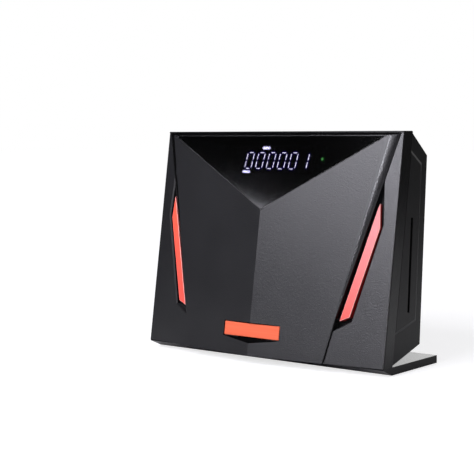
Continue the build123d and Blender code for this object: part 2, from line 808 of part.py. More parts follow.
# ------------------------------------------------------------------ USB and video sockets
shell_wall = 0.35
usb_tongue_size = (11.0, 1.9)
hdmi_tongue_size = (11.5, 1.3)
socket_throat = 9.5
with BuildPart() as usb_shell:
    with BuildSketch(back.offset(-0.3)):
        with Locations((usb_x, socket_line)):
            RectangleRounded(*usb_body, 0.5)
    extrude(amount=board_depth + 0.3)
    with BuildSketch(back.offset(-0.3)):
        with Locations((usb_x, socket_line)):
            Rectangle(usb_body[0] - 2 * shell_wall, usb_body[1] - 2 * shell_wall)
    extrude(amount=socket_throat, mode=Mode.SUBTRACT)
usb_shell.part.label = "usb_shell"
export_step(usb_shell.part, "parts/usb_shell.step")

with BuildPart() as usb_tongue:
    with BuildSketch(back.offset(socket_throat - 0.3)):
        with Locations((usb_x, socket_line + 0.8)):
            Rectangle(*usb_tongue_size)
    extrude(amount=-socket_throat + 0.8)
usb_tongue.part.label = "usb_tongue"
export_step(usb_tongue.part, "parts/usb_tongue.step")

hdmi_half = hdmi_body[0] / 2
hdmi_outline = [
    (-hdmi_half, hdmi_body[1] / 2),
    (-hdmi_half, -0.4),
    (-hdmi_half + 2.2, -hdmi_body[1] / 2),
    (hdmi_half - 2.2, -hdmi_body[1] / 2),
    (hdmi_half, -0.4),
    (hdmi_half, hdmi_body[1] / 2),
]
with BuildPart() as hdmi_shell:
    with BuildSketch(back.offset(-0.3)):
        with Locations((hdmi_x, socket_line)):
            Polygon(*hdmi_outline, align=None)
    extrude(amount=board_depth + 0.3)
    with BuildSketch(back.offset(-0.3)):
        with Locations((hdmi_x, socket_line)):
            Polygon(*hdmi_outline, align=None)
        offset(amount=-shell_wall, kind=Kind.INTERSECTION, mode=Mode.REPLACE)
    extrude(amount=socket_throat, mode=Mode.SUBTRACT)
hdmi_shell.part.label = "hdmi_shell"
export_step(hdmi_shell.part, "parts/hdmi_shell.step")

with BuildPart() as hdmi_tongue:
    with BuildSketch(back.offset(socket_throat - 0.3)):
        with Locations((hdmi_x, socket_line + 0.4)):
            Rectangle(*hdmi_tongue_size)
    extrude(amount=-socket_throat + 0.8)
hdmi_tongue.part.label = "hdmi_tongue"
export_step(hdmi_tongue.part, "parts/hdmi_tongue.step")

# ------------------------------------------------------------------ audio and video jack
jack_bore = 1.8
jack_nose = 1.2
with BuildPart() as av_jack:
    with BuildSketch(back.offset(socket_plate_thickness)):
        with Locations((jack_x, socket_line)):
            Rectangle(9.0, 9.0)
    extrude(amount=board_depth - socket_plate_thickness)
    with BuildSketch(back.offset(-jack_nose)):
        with Locations((jack_x, socket_line)):
            Circle(jack_radius)
    extrude(amount=socket_plate_thickness + jack_nose)
    with BuildSketch(back.offset(-jack_nose)):
        with Locations((jack_x, socket_line)):
            Circle(jack_bore)
    extrude(amount=11.0 + jack_nose, mode=Mode.SUBTRACT)
av_jack.part.label = "av_jack"
export_step(av_jack.part, "parts/av_jack.step")

# ------------------------------------------------------------------ optical socket and shutter
optical_cavity = 6.5
optical_depth = 9.0
optical_ceiling = socket_line + optical_cavity / 2
shutter_width = 6.2
shutter_thickness = 0.8
shutter_pivot_drop = 0.65         # ceiling of the cavity to the shutter's axis
shutter_pivot_depth = 0.6
shutter_floor_gap = 0.2           # end of the shutter to the floor of the cavity
shutter_pin = 0.4
with BuildPart() as optical_socket:
    with BuildSketch(back.offset(-0.3)):
        with Locations((optical_x, socket_line)):
            Rectangle(*optical_body)
    extrude(amount=board_depth + 0.3)
    with BuildSketch(back.offset(-0.3)):
        with Locations((optical_x, socket_line)):
            Rectangle(optical_cavity, optical_cavity)
    extrude(amount=optical_depth, mode=Mode.SUBTRACT)
    with BuildSketch(profile.offset(optical_x)):
        with Locations((optical_ceiling - shutter_pivot_drop, shutter_pivot_depth)):
            Circle(shutter_pin + pin_play)
    extrude(amount=optical_cavity / 2 + 0.8, both=True, mode=Mode.SUBTRACT)
    # Emitter at the end of the cavity.
    with BuildSketch(back.offset(optical_depth - 0.3)):
        with Locations((optical_x, socket_line)):
            Circle(1.4)
    extrude(amount=-1.2)
optical_socket.part.label = "optical_socket"
export_step(optical_socket.part, "parts/optical_socket.step")

shutter_length = optical_cavity - shutter_pivot_drop - shutter_floor_gap
with BuildPart() as optical_shutter:
    with BuildSketch(profile.offset(optical_x)):
        with Locations((optical_ceiling - shutter_pivot_drop, shutter_pivot_depth)):
            Circle(shutter_thickness / 2)
            Rectangle(shutter_length, shutter_thickness, align=(Align.MAX, Align.CENTER))
    extrude(amount=shutter_width / 2, both=True)
    with BuildSketch(profile.offset(optical_x)):
        with Locations((optical_ceiling - shutter_pivot_drop, shutter_pivot_depth)):
            Circle(shutter_pin)
    extrude(amount=optical_cavity / 2 + 0.6, both=True)
optical_shutter.part.label = "optical_shutter"
export_step(optical_shutter.part, "parts/optical_shutter.step")

# ------------------------------------------------------------------ aerial connectors
lnb_reach = 9.0                   # thread outside the rear wall
lnb_neck = 4.6                   # radius of the neck under the nut
lnb_bore = 3.6
lnb_nut = (12.7, 2.0)             # across the flats, thickness
insulator_hole = 0.8
insulator_depth = 4.0            # inner end of the insulators, inside the rear wall
insulator_sunk = 0.6             # their outer end, inside the connector's mouth
with BuildPart() as lnb_connectors:
    with BuildSketch(back.offset(socket_plate_thickness)):
        with Locations(*[(x, socket_line) for x in lnb_x]):
            RegularPolygon(lnb_hex / 2, 6, major_radius=False, rotation=30)
    extrude(amount=board_depth - socket_plate_thickness)
    with BuildSketch(back.offset(-lnb_nut[1])):
        with Locations(*[(x, socket_line) for x in lnb_x]):
            Circle(lnb_neck)
    extrude(amount=lnb_nut[1] + socket_plate_thickness)
    with BuildSketch(back.offset(-lnb_reach)):
        with Locations(*[(x, socket_line) for x in lnb_x]):
            Circle(thread_radius)
    extrude(amount=lnb_reach - lnb_nut[1])
    with BuildSketch(back.offset(-lnb_reach)):
        with Locations(*[(x, socket_line) for x in lnb_x]):
            Circle(lnb_bore)
    extrude(amount=lnb_reach + insulator_depth, mode=Mode.SUBTRACT)
lnb_connectors.part.label = "lnb_connectors"
export_step(lnb_connectors.part, "parts/lnb_connectors.step")

with BuildPart() as lnb_insulators:
    with BuildSketch(back.offset(insulator_depth)):
        with Locations(*[(x, socket_line) for x in lnb_x]):
            Circle(lnb_bore)
            Circle(insulator_hole, mode=Mode.SUBTRACT)
    extrude(amount=insulator_sunk - insulator_depth - lnb_reach)
lnb_insulators.part.label = "lnb_insulators"
export_step(lnb_insulators.part, "parts/lnb_insulators.step")

with BuildPart() as lnb_nuts:
    with BuildSketch(back):
        with Locations(*[(x, socket_line) for x in lnb_x]):
            RegularPolygon(lnb_nut[0] / 2, 6, major_radius=False, rotation=30)
            Circle(lnb_neck + pilot_clearance, mode=Mode.SUBTRACT)
    extrude(amount=-lnb_nut[1])
lnb_nuts.part.label = "lnb_nuts"
export_step(lnb_nuts.part, "parts/lnb_nuts.step")

# ------------------------------------------------------------------ main board
board_front = board_depth + board_thickness
with BuildPart() as main_board:
    with BuildSketch(back.offset(board_depth)):
        with Locations((0, (board_low + board_high) / 2)):
            RectangleRounded(2 * board_half, board_high - board_low, 2.0)
        with Locations(*board_screws):
            Circle(board_screw_radius + screw_clearance, mode=Mode.SUBTRACT)
    extrude(amount=board_thickness)
main_board.part.label = "main_board"
export_step(main_board.part, "parts/main_board.step")

reader_right = half_width - 3.6
reader_rim = 1.0                  # card slot to the ends of the reader
reader_height = 3.8
reader_wall = 1.2
reader_window = (24.0, 30.0)
card_gap = 1.2
reader_middle = ((reader_left + reader_right) / 2, (slot_low + slot_high) / 2)
reader_size = (reader_right - reader_left, slot_length + 2 * reader_rim)
contact_back = 8.0                # middle of the reader to the middle of its contacts
with BuildPart() as card_reader:
    with BuildSketch(back.offset(board_front)):
        with Locations(reader_middle):
            Rectangle(*reader_size)
    extrude(amount=reader_height)
    with BuildSketch(back.offset(slot_depth - card_gap / 2)):
        with Locations((reader_middle[0] + reader_wall, reader_middle[1])):
            Rectangle(reader_size[0], reader_size[1] - 2 * reader_wall)
    extrude(amount=card_gap, mode=Mode.SUBTRACT)
    # Window over the contacts.
    with BuildSketch(back.offset(slot_depth + card_gap / 2)):
        with Locations((reader_middle[0] - contact_back, reader_middle[1])):
            Rectangle(*reader_window)
    extrude(amount=reader_height, mode=Mode.SUBTRACT)
card_reader.part.label = "card_reader"
export_step(card_reader.part, "parts/card_reader.step")

contact_pitch = (7.6, 2.54)
contact_size = (3.4, 1.2)
contact_height = 0.4
with BuildPart() as card_contacts:
    with BuildSketch(back.offset(slot_depth - card_gap / 2)):
        with Locations((reader_middle[0] - contact_back, reader_middle[1])):
            with GridLocations(*contact_pitch, 2, 4):
                Rectangle(*contact_size)
    extrude(amount=contact_height)
card_contacts.part.label = "card_contacts"
export_step(card_contacts.part, "parts/card_contacts.step")

tuner_size = (32.0, 30.0, 8.0)
tuner_place = (-board_half + 26.0, 25.0)
with BuildPart() as tuner_can:
    with BuildSketch(back.offset(board_front)):
        with Locations(tuner_place):
            RectangleRounded(tuner_size[0], tuner_size[1], 0.8)
    extrude(amount=tuner_size[2])
tuner_can.part.label = "tuner_can"
export_step(tuner_can.part, "parts/tuner_can.step")

chip_place = (reader_left - reader_to_chip, board_high - 29.0)
chip_side = 24.0
chip_height = 1.8
sink_side = 38.0
sink_base = 2.0
sink_height = 10.0
fin_thickness = 1.2
fin_count = 9
with BuildPart() as processor:
    with BuildSketch(back.offset(board_front)):
        with Locations(chip_place):
            Rectangle(chip_side, chip_side)
    extrude(amount=chip_height)
processor.part.label = "processor"
export_step(processor.part, "parts/processor.step")

with BuildPart() as heat_sink:
    with BuildSketch(back.offset(board_front + chip_height)):
        with Locations(chip_place):
            Rectangle(sink_side, sink_side)
    extrude(amount=sink_base)
    with BuildSketch(back.offset(board_front + chip_height + sink_base)):
        with Locations(chip_place):
            with GridLocations((sink_side - fin_thickness) / (fin_count - 1), 0, fin_count, 1):
                Rectangle(fin_thickness, sink_side)
    extrude(amount=sink_height - sink_base)
heat_sink.part.label = "heat_sink"
export_step(heat_sink.part, "parts/heat_sink.step")

memory_size = (9.0, 13.0)
memory_height = 1.1
with BuildPart() as memory_chips:
    with BuildSketch(back.offset(board_front)):
        with Locations(*[(chip_place[0] - 32.0, chip_place[1] + rise) for rise in (-9.0, 9.0)]):
            Rectangle(*memory_size)
    extrude(amount=memory_height)
memory_chips.part.label = "memory_chips"
export_step(memory_chips.part, "parts/memory_chips.step")

tuner_side = tuner_place[0] + tuner_size[0] / 2
capacitor_low = 18.0
capacitor_radius = 4.0
capacitor_height = 8.5
capacitor_places = [
    (tuner_side + 10.0, capacitor_low),
    (tuner_side + 10.0, capacitor_low + 12.0),
    (tuner_side + 19.0, capacitor_low),
    (reader_left - 18.0, capacitor_low),
    (reader_left - 18.0, capacitor_low + 11.0),
]
with BuildPart() as capacitors:
    with BuildSketch(back.offset(board_front)):
        with Locations(*capacitor_places):
            Circle(capacitor_radius)
    extrude(amount=capacitor_height)
capacitors.part.label = "capacitors"
export_step(capacitors.part, "parts/capacitors.step")

inductor_side = 7.0
inductor_height = 3.5
with BuildPart() as inductors:
    with BuildSketch(back.offset(board_front)):
        with Locations((reader_left - 38.0, capacitor_low + 13.0), (reader_left - 28.0, capacitor_low)):
            RectangleRounded(inductor_side, inductor_side, 1.2)
    extrude(amount=inductor_height)
inductors.part.label = "inductors"
export_step(inductors.part, "parts/inductors.step")

radio_place = (-board_half + 24.0, board_high - 21.0)
radio_size = (18.0, 22.0)
radio_can = (14.0, 13.0)
radio_base = 0.8
radio_can_height = 1.8
with BuildPart() as radio_module:
    with BuildSketch(back.offset(board_front)):
        with Locations(radio_place):
            Rectangle(*radio_size)
    extrude(amount=radio_base)
    with BuildSketch(back.offset(board_front + radio_base)):
        with Locations((radio_place[0], radio_place[1] - 2.5)):
            RectangleRounded(*radio_can, 0.5)
    extrude(amount=radio_can_height)
radio_module.part.label = "radio_module"
export_step(radio_module.part, "parts/radio_module.step")

# ------------------------------------------------------------------ display board and its parts
display_back = bulkhead_back + board_thickness
display_board_size = (102.0, 27.0)
module_face = 0.5                 # face of the display, above the datum plane
with BuildPart() as display_board:
    with BuildSketch(face.offset(-display_back)):
        with Locations((0, display_height)):
            Rectangle(*display_board_size)
        with Locations(*display_screws):
            Circle(plate_screw_radius + screw_clearance, mode=Mode.SUBTRACT)
    extrude(amount=board_thickness)
display_board.part.label = "display_board"
export_step(display_board.part, "parts/display_board.step")

with BuildPart() as display_module:
    with BuildSketch(face.offset(-bulkhead_back)):
        with Locations((0, display_height)):
            Rectangle(*module_size)
    extrude(amount=bulkhead_back + module_face)
    module_top = display_module.faces().sort_by(lambda f: face.to_local_coords(f.center()).Z)[-1]
    chamfer(module_top.edges(), 0.3)
display_module.part.label = "display_module"
export_step(display_module.part, "parts/display_module.step")

led_place = (35.5, display_height + 1.0)
led_radius = 1.5
eye_place = (-36.0, display_height + 1.0)
eye_size = (6.0, 7.0, 2.0)
eye_radius = 2.2
with BuildPart() as standby_led:
    with BuildSketch(face.offset(-bulkhead_back)):
        with Locations(led_place):
            Circle(led_radius)
    extrude(amount=bulkhead_back + module_face)
    dome = standby_led.faces().sort_by(lambda f: face.to_local_coords(f.center()).Z)[-1]
    chamfer(dome.edges(), 0.5)
standby_led.part.label = "standby_led"
export_step(standby_led.part, "parts/standby_led.step")

with BuildPart() as remote_eye:
    with BuildSketch(face.offset(-bulkhead_back)):
        with Locations(eye_place):
            Rectangle(eye_size[0], eye_size[1])
    extrude(amount=eye_size[2])
    with BuildSketch(face.offset(eye_size[2] - bulkhead_back)):
        with Locations(eye_place):
            Circle(eye_radius)
    extrude(amount=bulkhead_back + module_face - eye_size[2])
remote_eye.part.label = "remote_eye"
export_step(remote_eye.part, "parts/remote_eye.step")

with BuildPart() as display_screw_set:
    with BuildSketch(face.offset(-display_back)):
        with Locations(*display_screws):
            Circle(small_head[0])
    extrude(amount=-small_head[1])
    with BuildSketch(face.offset(-display_back)):
        with Locations(*display_screws):
            Circle(plate_screw_radius)
    extrude(amount=display_back - seat_depth - 0.2)
display_screw_set.part.label = "display_screws"
export_step(display_screw_set.part, "parts/display_screws.step")

# ------------------------------------------------------------------ lamp boards behind the light bars
lamp_count = 8
lamp_size = (2.8, 3.5, 1.4)
with BuildPart() as lamp_boards:
    with BuildSketch(face.offset(-display_back)):
        with Locations(*lamp_places):
            Rectangle(*lamp_board_size)
        with Locations(*lamp_screws):
            Circle(plate_screw_radius + screw_clearance, mode=Mode.SUBTRACT)
    extrude(amount=board_thickness)
lamp_boards.part.label = "lamp_boards"
export_step(lamp_boards.part, "parts/lamp_boards.step")

with BuildPart() as lamps:
    with BuildSketch(face.offset(-bulkhead_back)):
        for place in lamp_places:
            with Locations(place):
                with GridLocations(0, bar_slot[1] / lamp_count, 1, lamp_count):
                    Rectangle(lamp_size[0], lamp_size[1])
    extrude(amount=lamp_size[2])
lamps.part.label = "lamps"
export_step(lamps.part, "parts/lamps.step")

with BuildPart() as lamp_screw_set:
    with BuildSketch(face.offset(-display_back)):
        with Locations(*lamp_screws):
            Circle(small_head[0])
    extrude(amount=-small_head[1])
    with BuildSketch(face.offset(-display_back)):
        with Locations(*lamp_screws):
            Circle(plate_screw_radius)
    extrude(amount=display_back - seat_depth - 0.2)
lamp_screw_set.part.label = "lamp_screws"
export_step(lamp_screw_set.part, "parts/lamp_screws.step")

# ------------------------------------------------------------------ flat cable and its connectors
cable_width = 12.0
cable_thickness = 0.3
connector_height = 2.0
connector_length = 5.0
connector_gap = 0.5               # heat sink to the connector above it
reader_clearance = 2.5            # card reader to the cable
cable_x = reader_left - reader_clearance - cable_width / 2
board_connector_up = chip_place[1] + sink_side / 2 + connector_gap + connector_length / 2
display_connector_up = display_height - 9.5
cable_rise = 9.0                  # height of the cable's loop above its connectors
cable_bend = 3.0
with BuildPart() as cable_connectors:
    with BuildSketch(back.offset(board_front)):
        with Locations((cable_x, board_connector_up)):
            Rectangle(cable_width + 3.0, connector_length)
    extrude(amount=connector_height)
    with BuildSketch(face.offset(-display_back)):
        with Locations((cable_x, display_connector_up)):
            Rectangle(cable_width + 3.0, connector_length)
    extrude(amount=-connector_height)
cable_connectors.part.label = "cable_connectors"
export_step(cable_connectors.part, "parts/cable_connectors.step")

with BuildPart() as display_cable:
    start_up = board_connector_up + connector_length / 2
    end_up = display_connector_up + connector_length / 2
    start_depth = board_front + connector_height / 2
    end_level = -display_back - connector_height / 2
    with BuildSketch(Plane.YZ.offset(cable_x)):
        with BuildLine():
            FilletPolyline(
                back_point(start_up, start_depth),
                back_point(start_up + 1.4 * cable_rise, start_depth),
                face_point(end_up + cable_rise, end_level),
                face_point(end_up, end_level),
                radius=cable_bend,
            )
        trace(line_width=cable_thickness)
    extrude(amount=cable_width / 2, both=True)
display_cable.part.label = "display_cable"
export_step(display_cable.part, "parts/display_cable.step")

# ------------------------------------------------------------------ stand
wedge_width = 11.0
wedge_front = stand_rows[0] - 6.0
wedge_back = stand_rows[1] + 6.0
wedge_root = 1.0                  # wedges reach this far into the plate
stand_head = (2.9, 2.0)           # radius and height of the head of a stand screw
head_sink = 0.3
foot_inset = (12.0, 8.0)          # feet to the sides and the back of the stand
foot_places = [
    (way * (half_width - foot_inset[0]), y)
    for way in (-1, 1)
    for y in (stand_rows[0] - 1.0, stand_back - foot_inset[1])
]
stand_bevel_height = deck - stand_nose
with BuildPart() as stand_plate:
    with BuildSketch(Plane.YZ):
        Polygon(
            (face_y + stand_setback, foot_proud),
            (stand_back, foot_proud),
            (stand_back, deck),
            (face_y + 0.3, deck),
            (face_y + 0.3, stand_bevel_height),
            align=None,
        )
    extrude(amount=half_width, both=True)
    chamfer(
        stand_plate.edges().filter_by(lambda e: abs(e.center().Y - stand_back) < 0.01), seam_bevel
    )
    # Wedges that carry the belly.
    with BuildSketch(Plane.YZ):
        Polygon(
            (wedge_front, deck - wedge_root),
            (wedge_back, deck - wedge_root),
            (wedge_back, belly_at(wedge_back)),
            (wedge_front, belly_at(wedge_front)),
            align=None,
        )
    wedge = extrude(amount=half_width, both=True, mode=Mode.PRIVATE)
    with BuildSketch(Plane.XY.offset(deck - wedge_root)):
        with Locations(*[(way * stand_screw_x, (wedge_front + wedge_back) / 2) for way in (-1, 1)]):
            RectangleRounded(wedge_width, wedge_back - wedge_front, 2.0)
    wedges = extrude(amount=belly_rise, mode=Mode.PRIVATE)
    add(wedges & wedge)
    # Recesses for the feet and the screw heads.
    with BuildSketch(Plane.XY.offset(foot_proud)):
        with Locations(*foot_places):
            Circle(foot_radius + joint_gap)
    extrude(amount=foot_recess, mode=Mode.SUBTRACT)
    with BuildSketch(Plane.XY.offset(foot_proud)):
        with Locations(*stand_screws):
            Circle(stand_head[0] + joint_gap)
    extrude(amount=stand_head[1] + head_sink, mode=Mode.SUBTRACT)
    with BuildSketch(Plane.XY.offset(foot_proud)):
        with Locations(*stand_screws):
            Circle(screw_radius + screw_clearance)
    extrude(amount=belly_rise, mode=Mode.SUBTRACT)
stand_plate.part.label = "stand_plate"
export_step(stand_plate.part, "parts/stand_plate.step")

with BuildPart() as stand_feet:
    with BuildSketch(Plane.XY):
        with Locations(*foot_places):
            Circle(foot_radius)
    extrude(amount=foot_proud + foot_recess)
    chamfer(stand_feet.edges().filter_by(lambda e: e.center().Z < 0.01), 0.3)
stand_feet.part.label = "stand_feet"
export_step(stand_feet.part, "parts/stand_feet.step")

# ------------------------------------------------------------------ screws
with BuildPart() as stand_screw_set:
    head_low = foot_proud + head_sink
    with BuildSketch(Plane.XY.offset(head_low)):
        with Locations(*stand_screws):
            Circle(stand_head[0])
    extrude(amount=stand_head[1])
    for x, y in stand_screws:
        with BuildSketch(Plane.XY.offset(head_low + stand_head[1])):
            with Locations((x, y)):
                Circle(screw_radius)
        extrude(amount=belly_at(y) + stand_screw_bite - 1.0 - head_low - stand_head[1])
stand_screw_set.part.label = "stand_screws"
export_step(stand_screw_set.part, "parts/stand_screws.step")

with BuildPart() as cover_screw_set:
    with BuildSketch(back.offset(cover_recess)):
        with Locations(*cover_posts):
            Circle(cover_head_radius)
    extrude(amount=joint_gap - cover_recess)
    with BuildSketch(back.offset(cover_recess)):
        with Locations(*cover_posts):
            Circle(screw_radius)
    extrude(amount=post_meet + cover_screw_bite - cover_recess)
cover_screw_set.part.label = "cover_screws"
export_step(cover_screw_set.part, "parts/cover_screws.step")

with BuildPart() as plate_screw_set:
    with BuildSketch(back):
        with Locations(*plate_screws):
            Circle(small_head[0])
    extrude(amount=-small_head[1])
    with BuildSketch(back):
        with Locations(*plate_screws):
            Circle(plate_screw_radius)
    extrude(amount=socket_plate_thickness + plate_post_length - 0.5)
plate_screw_set.part.label = "plate_screws"
export_step(plate_screw_set.part, "parts/plate_screws.step")

with BuildPart() as board_screw_set:
    with BuildSketch(back.offset(board_front)):
        with Locations(*board_screws):
            Circle(board_screw_radius * 2)
    extrude(amount=board_screw_radius)
    with BuildSketch(back.offset(board_front)):
        with Locations(*board_screws):
            Circle(board_screw_radius)
    extrude(amount=1.0 - board_thickness - board_screw_length)
board_screw_set.part.label = "board_screws"
export_step(board_screw_set.part, "parts/board_screws.step")
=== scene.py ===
from math import cos, radians, sin

import bmesh
import bpy
from mathutils import Matrix, Vector


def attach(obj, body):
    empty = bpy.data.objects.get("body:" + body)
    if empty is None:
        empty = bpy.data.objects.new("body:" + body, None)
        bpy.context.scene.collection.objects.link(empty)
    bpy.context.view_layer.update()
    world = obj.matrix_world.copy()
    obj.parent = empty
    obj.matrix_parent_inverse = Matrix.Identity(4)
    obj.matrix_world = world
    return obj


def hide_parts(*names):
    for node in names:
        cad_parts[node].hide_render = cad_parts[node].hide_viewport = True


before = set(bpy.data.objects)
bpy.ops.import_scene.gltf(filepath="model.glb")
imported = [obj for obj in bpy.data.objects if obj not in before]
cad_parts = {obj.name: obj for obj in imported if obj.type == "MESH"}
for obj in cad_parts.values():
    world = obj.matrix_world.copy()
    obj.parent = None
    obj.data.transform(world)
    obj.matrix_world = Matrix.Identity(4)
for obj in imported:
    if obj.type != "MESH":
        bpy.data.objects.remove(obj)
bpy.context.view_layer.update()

MM = 0.001                        # metres in a millimetre

# ---------------------------------------------------------------- camera
# The viewpoint: level with the top of the body, some way off to its right, through a long lens.
# Its turns are set against a level camera that looks straight at the front.
camera_place = Vector((0.4684, -0.6368, 0.1400))
camera_yaw = radians(38.423)      # to the left
camera_pitch = radians(4.640)     # down
camera_roll = radians(-0.163)
camera_lens = 95.74               # millimetres, as is the width of the sensor
camera_sensor = 36.0
camera_near = 0.01                # nothing closer than this is drawn


def placed(name, data):
    """A new object in the scene, at the origin."""
    obj = bpy.data.objects.new(name, data)
    bpy.context.scene.collection.objects.link(obj)
    return obj


ahead = Vector(
    (-sin(camera_yaw) * cos(camera_pitch), cos(camera_yaw) * cos(camera_pitch), -sin(camera_pitch))
)
level = Vector((cos(camera_yaw), sin(camera_yaw), 0.0))
upright = level.cross(ahead)
across = level * cos(camera_roll) + upright * sin(camera_roll)
upward = upright * cos(camera_roll) - level * sin(camera_roll)
camera_turn = Matrix((across, upward, -ahead)).transposed().to_4x4()
camera_data = bpy.data.cameras.new("camera")
camera_data.lens = camera_lens
camera_data.sensor_width = camera_sensor
camera_data.clip_start = camera_near
camera = placed("camera", camera_data)
camera.matrix_world = Matrix.Translation(camera_place) @ camera_turn
bpy.context.scene.camera = camera

# ---------------------------------------------------------------- studio
# A pale floor, a world that is white behind the object and dim in front of it, and soft lamps:
# a large one ahead to the left, which the right half of the front mirrors, and weak ones round it.
white = (1.0, 1.0, 1.0)
floor_size = 16.0
floor_colour = (0.45, 0.45, 0.45)
floor_roughness = 0.8
floor_reach = (0.2, 1.4)          # distances between which the next two change
floor_lift = (0.72, 0.98)         # white the camera sees added near the object and far from it
floor_mirrored = (0.66, 0.02)     # painted light that glossy surfaces see added to it, near and far
floor_shaded = (0.07, 0.18)       # closer to the object that painted light fades out between these, a painted shadow
middle = (0.0, 0.0, 0.07)         # of the object, where the lamps point
lamp_colour = (0.98, 0.97, 1.06)  # a slightly cool white
sky_front = 0.015                 # strength of the world in front of the object
sky_behind = 0.7                  # and behind it
sky_edges = (0.76, 0.86)          # where the white behind the object begins and is full
sky_right = (0.0, 0.45, 1.0, 0.1)  # from the middle to the right it dims to a tenth


class Field:
    """A value that varies over a surface. Arithmetic on it adds Math nodes to its tree."""

    def __init__(self, shading, socket):
        self.shading = shading
        self.socket = socket

    def joined(self, operation, *values):
        """What one Math node makes of some values."""
        return self.shading.node("Math", {"operation": operation}, dict(enumerate(values)))

    def __add__(self, other):
        return self.joined("ADD", self, other)

    def __sub__(self, other):
        return self.joined("SUBTRACT", self, other)

    def __rsub__(self, other):
        return self.joined("SUBTRACT", other, self)

    def __mul__(self, other):
        return self.joined("MULTIPLY", self, other)

    __radd__ = __add__
    __rmul__ = __mul__


class Shading:
    """A tree of shader nodes, and the one method that adds them."""

    def __init__(self, tree):
        self.tree = tree

    def node(self, kind, settings=None, sockets=None, output=0):
        """Adds one node: its settings first, then the values or links of its sockets."""
        made = self.tree.nodes.new("ShaderNode" + kind)
        for name, value in (settings or {}).items():
            setattr(made, name, value)
        for name, value in (sockets or {}).items():
            self.feed(made.inputs[name], value)
        return Field(self, made.outputs[output])

    def feed(self, socket, value):
        """Links a socket to a field, or sets its own value."""
        if isinstance(value, Field):
            self.tree.links.new(value.socket, socket)
        elif isinstance(value, tuple) and socket.type == "RGBA":
            socket.default_value = (*value, 1.0)
        else:
            socket.default_value = value

    def fitted(self, value, low, high, new_low=0.0, new_high=1.0):
        """A value from low to high, stretched to new_low and new_high and held there."""
        return self.node("MapRange", None, {0: value, 1: low, 2: high, 3: new_low, 4: new_high})

    def either(self, *values):
        """The greatest of some values."""
        most = values[0]
        for value in values[1:]:
            most = most.joined("MAXIMUM", most, value)
        return most

    def axis(self, vector, letter):
        """One coordinate of a vector."""
        return self.node("SeparateXYZ", None, {0: vector}, letter)

    def measured(self, operation, *vectors):
        """A number that is worked out from vectors, such as a length or a dot product."""
        return self.node("VectorMath", {"operation": operation}, dict(enumerate(vectors)), "Value")

    def mirrored(self):
        """1 for what is seen in a glossy surface or through a clear one, and 0 for the rest."""
        return self.either(
            self.node("LightPath", output="Is Glossy Ray"),
            self.node("LightPath", output="Is Transmission Ray"),
        )


bpy.context.scene.view_settings.view_transform = "Standard"
world = bpy.data.worlds.new("studio")
bpy.context.scene.world = world
world.use_nodes = True
sky = Shading(world.node_tree)
way_out = sky.node("TexCoord", output="Generated")
behind = sky.fitted(sky.axis(way_out, "Y"), *sky_edges)
behind = behind * sky.fitted(sky.axis(way_out, "X"), *sky_right)
glow = sky.either(
    sky.node("LightPath", output="Is Camera Ray"),
    sky.mirrored() * behind,
    sky_front + (sky_behind - sky_front) * behind,
)
sky.feed(world.node_tree.nodes["Background"].inputs["Color"], white)
sky.feed(world.node_tree.nodes["Background"].inputs["Strength"], glow)


def lamp(name, azimuth, height, distance, size, power):
    """A soft lamp that points at the object. Azimuth, left of the front, and height are in degrees."""
    turn, rise = radians(azimuth), radians(height)
    way = Vector((-sin(turn) * cos(rise), -cos(turn) * cos(rise), sin(rise)))
    data = bpy.data.lights.new(name, "AREA")
    data.shape = "RECTANGLE"
    data.size, data.size_y = size
    data.energy = power
    data.color = lamp_colour
    obj = placed(name, data)
    obj.location = Vector(middle) + way * distance
    obj.rotation_euler = (-way).to_track_quat("-Z", "Y").to_euler()


lamp("key_lamp", azimuth=9.5, height=31.8, distance=1.3, size=(0.88, 0.76), power=21.5)
lamp("strip_lamp", azimuth=3.0, height=14.5, distance=1.3, size=(0.05, 0.2), power=1.9)
lamp("fill_lamp", azimuth=-25.0, height=15.0, distance=1.3, size=(0.8, 0.3), power=3.2)
lamp("card_lamp", azimuth=42.0, height=24.7, distance=1.3, size=(0.14, 0.06), power=0.5)
lamp("top_lamp", azimuth=-160.0, height=55.0, distance=1.6, size=(1.2, 1.2), power=8.0)

bpy.ops.mesh.primitive_plane_add(size=floor_size)
floor = bpy.context.active_object
floor.name = "floor"
floor_material = bpy.data.materials.new("floor_paint")
floor_material.use_nodes = True
floor_paint = Shading(floor_material.node_tree)
floor_shader = floor_material.node_tree.nodes["Principled BSDF"]
floor_paint.feed(floor_shader.inputs["Base Color"], floor_colour)
floor_paint.feed(floor_shader.inputs["Roughness"], floor_roughness)
reach = floor_paint.measured("LENGTH", floor_paint.node("TexCoord", output="Object"))
lifted = floor_paint.node("LightPath", output="Is Camera Ray") * floor_paint.fitted(
    reach, *floor_reach, *floor_lift
)
# Glossy surfaces see a painted pool of light on the floor round the object, with a painted shadow under it.
mirrored = floor_paint.mirrored() * floor_paint.fitted(reach, *floor_shaded)
mirrored = mirrored * floor_paint.fitted(reach, *floor_reach, *floor_mirrored)
floor_paint.feed(floor_shader.inputs["Emission Color"], white)
floor_paint.feed(floor_shader.inputs["Emission Strength"], lifted + mirrored)
floor.data.materials.append(floor_material)

# ---------------------------------------------------------------- front frame
# The frame round the front, which carries every front panel and meets the rear housing at a V
# groove. Black ABS, injection moulded in one piece with a fine spark-eroded grain and softened
# edges.
clouds = (30.0, 3.0)              # slow drift of a moulding's colour: patches to the metre, detail
cloud_share = 0.6                 # of the drift, to which the grain gives the rest
weld_reach = 0.000002             # points of a mesh that lie closer than this are one
flat_turn = radians(0.4)          # faces that turn less than this from each other are one


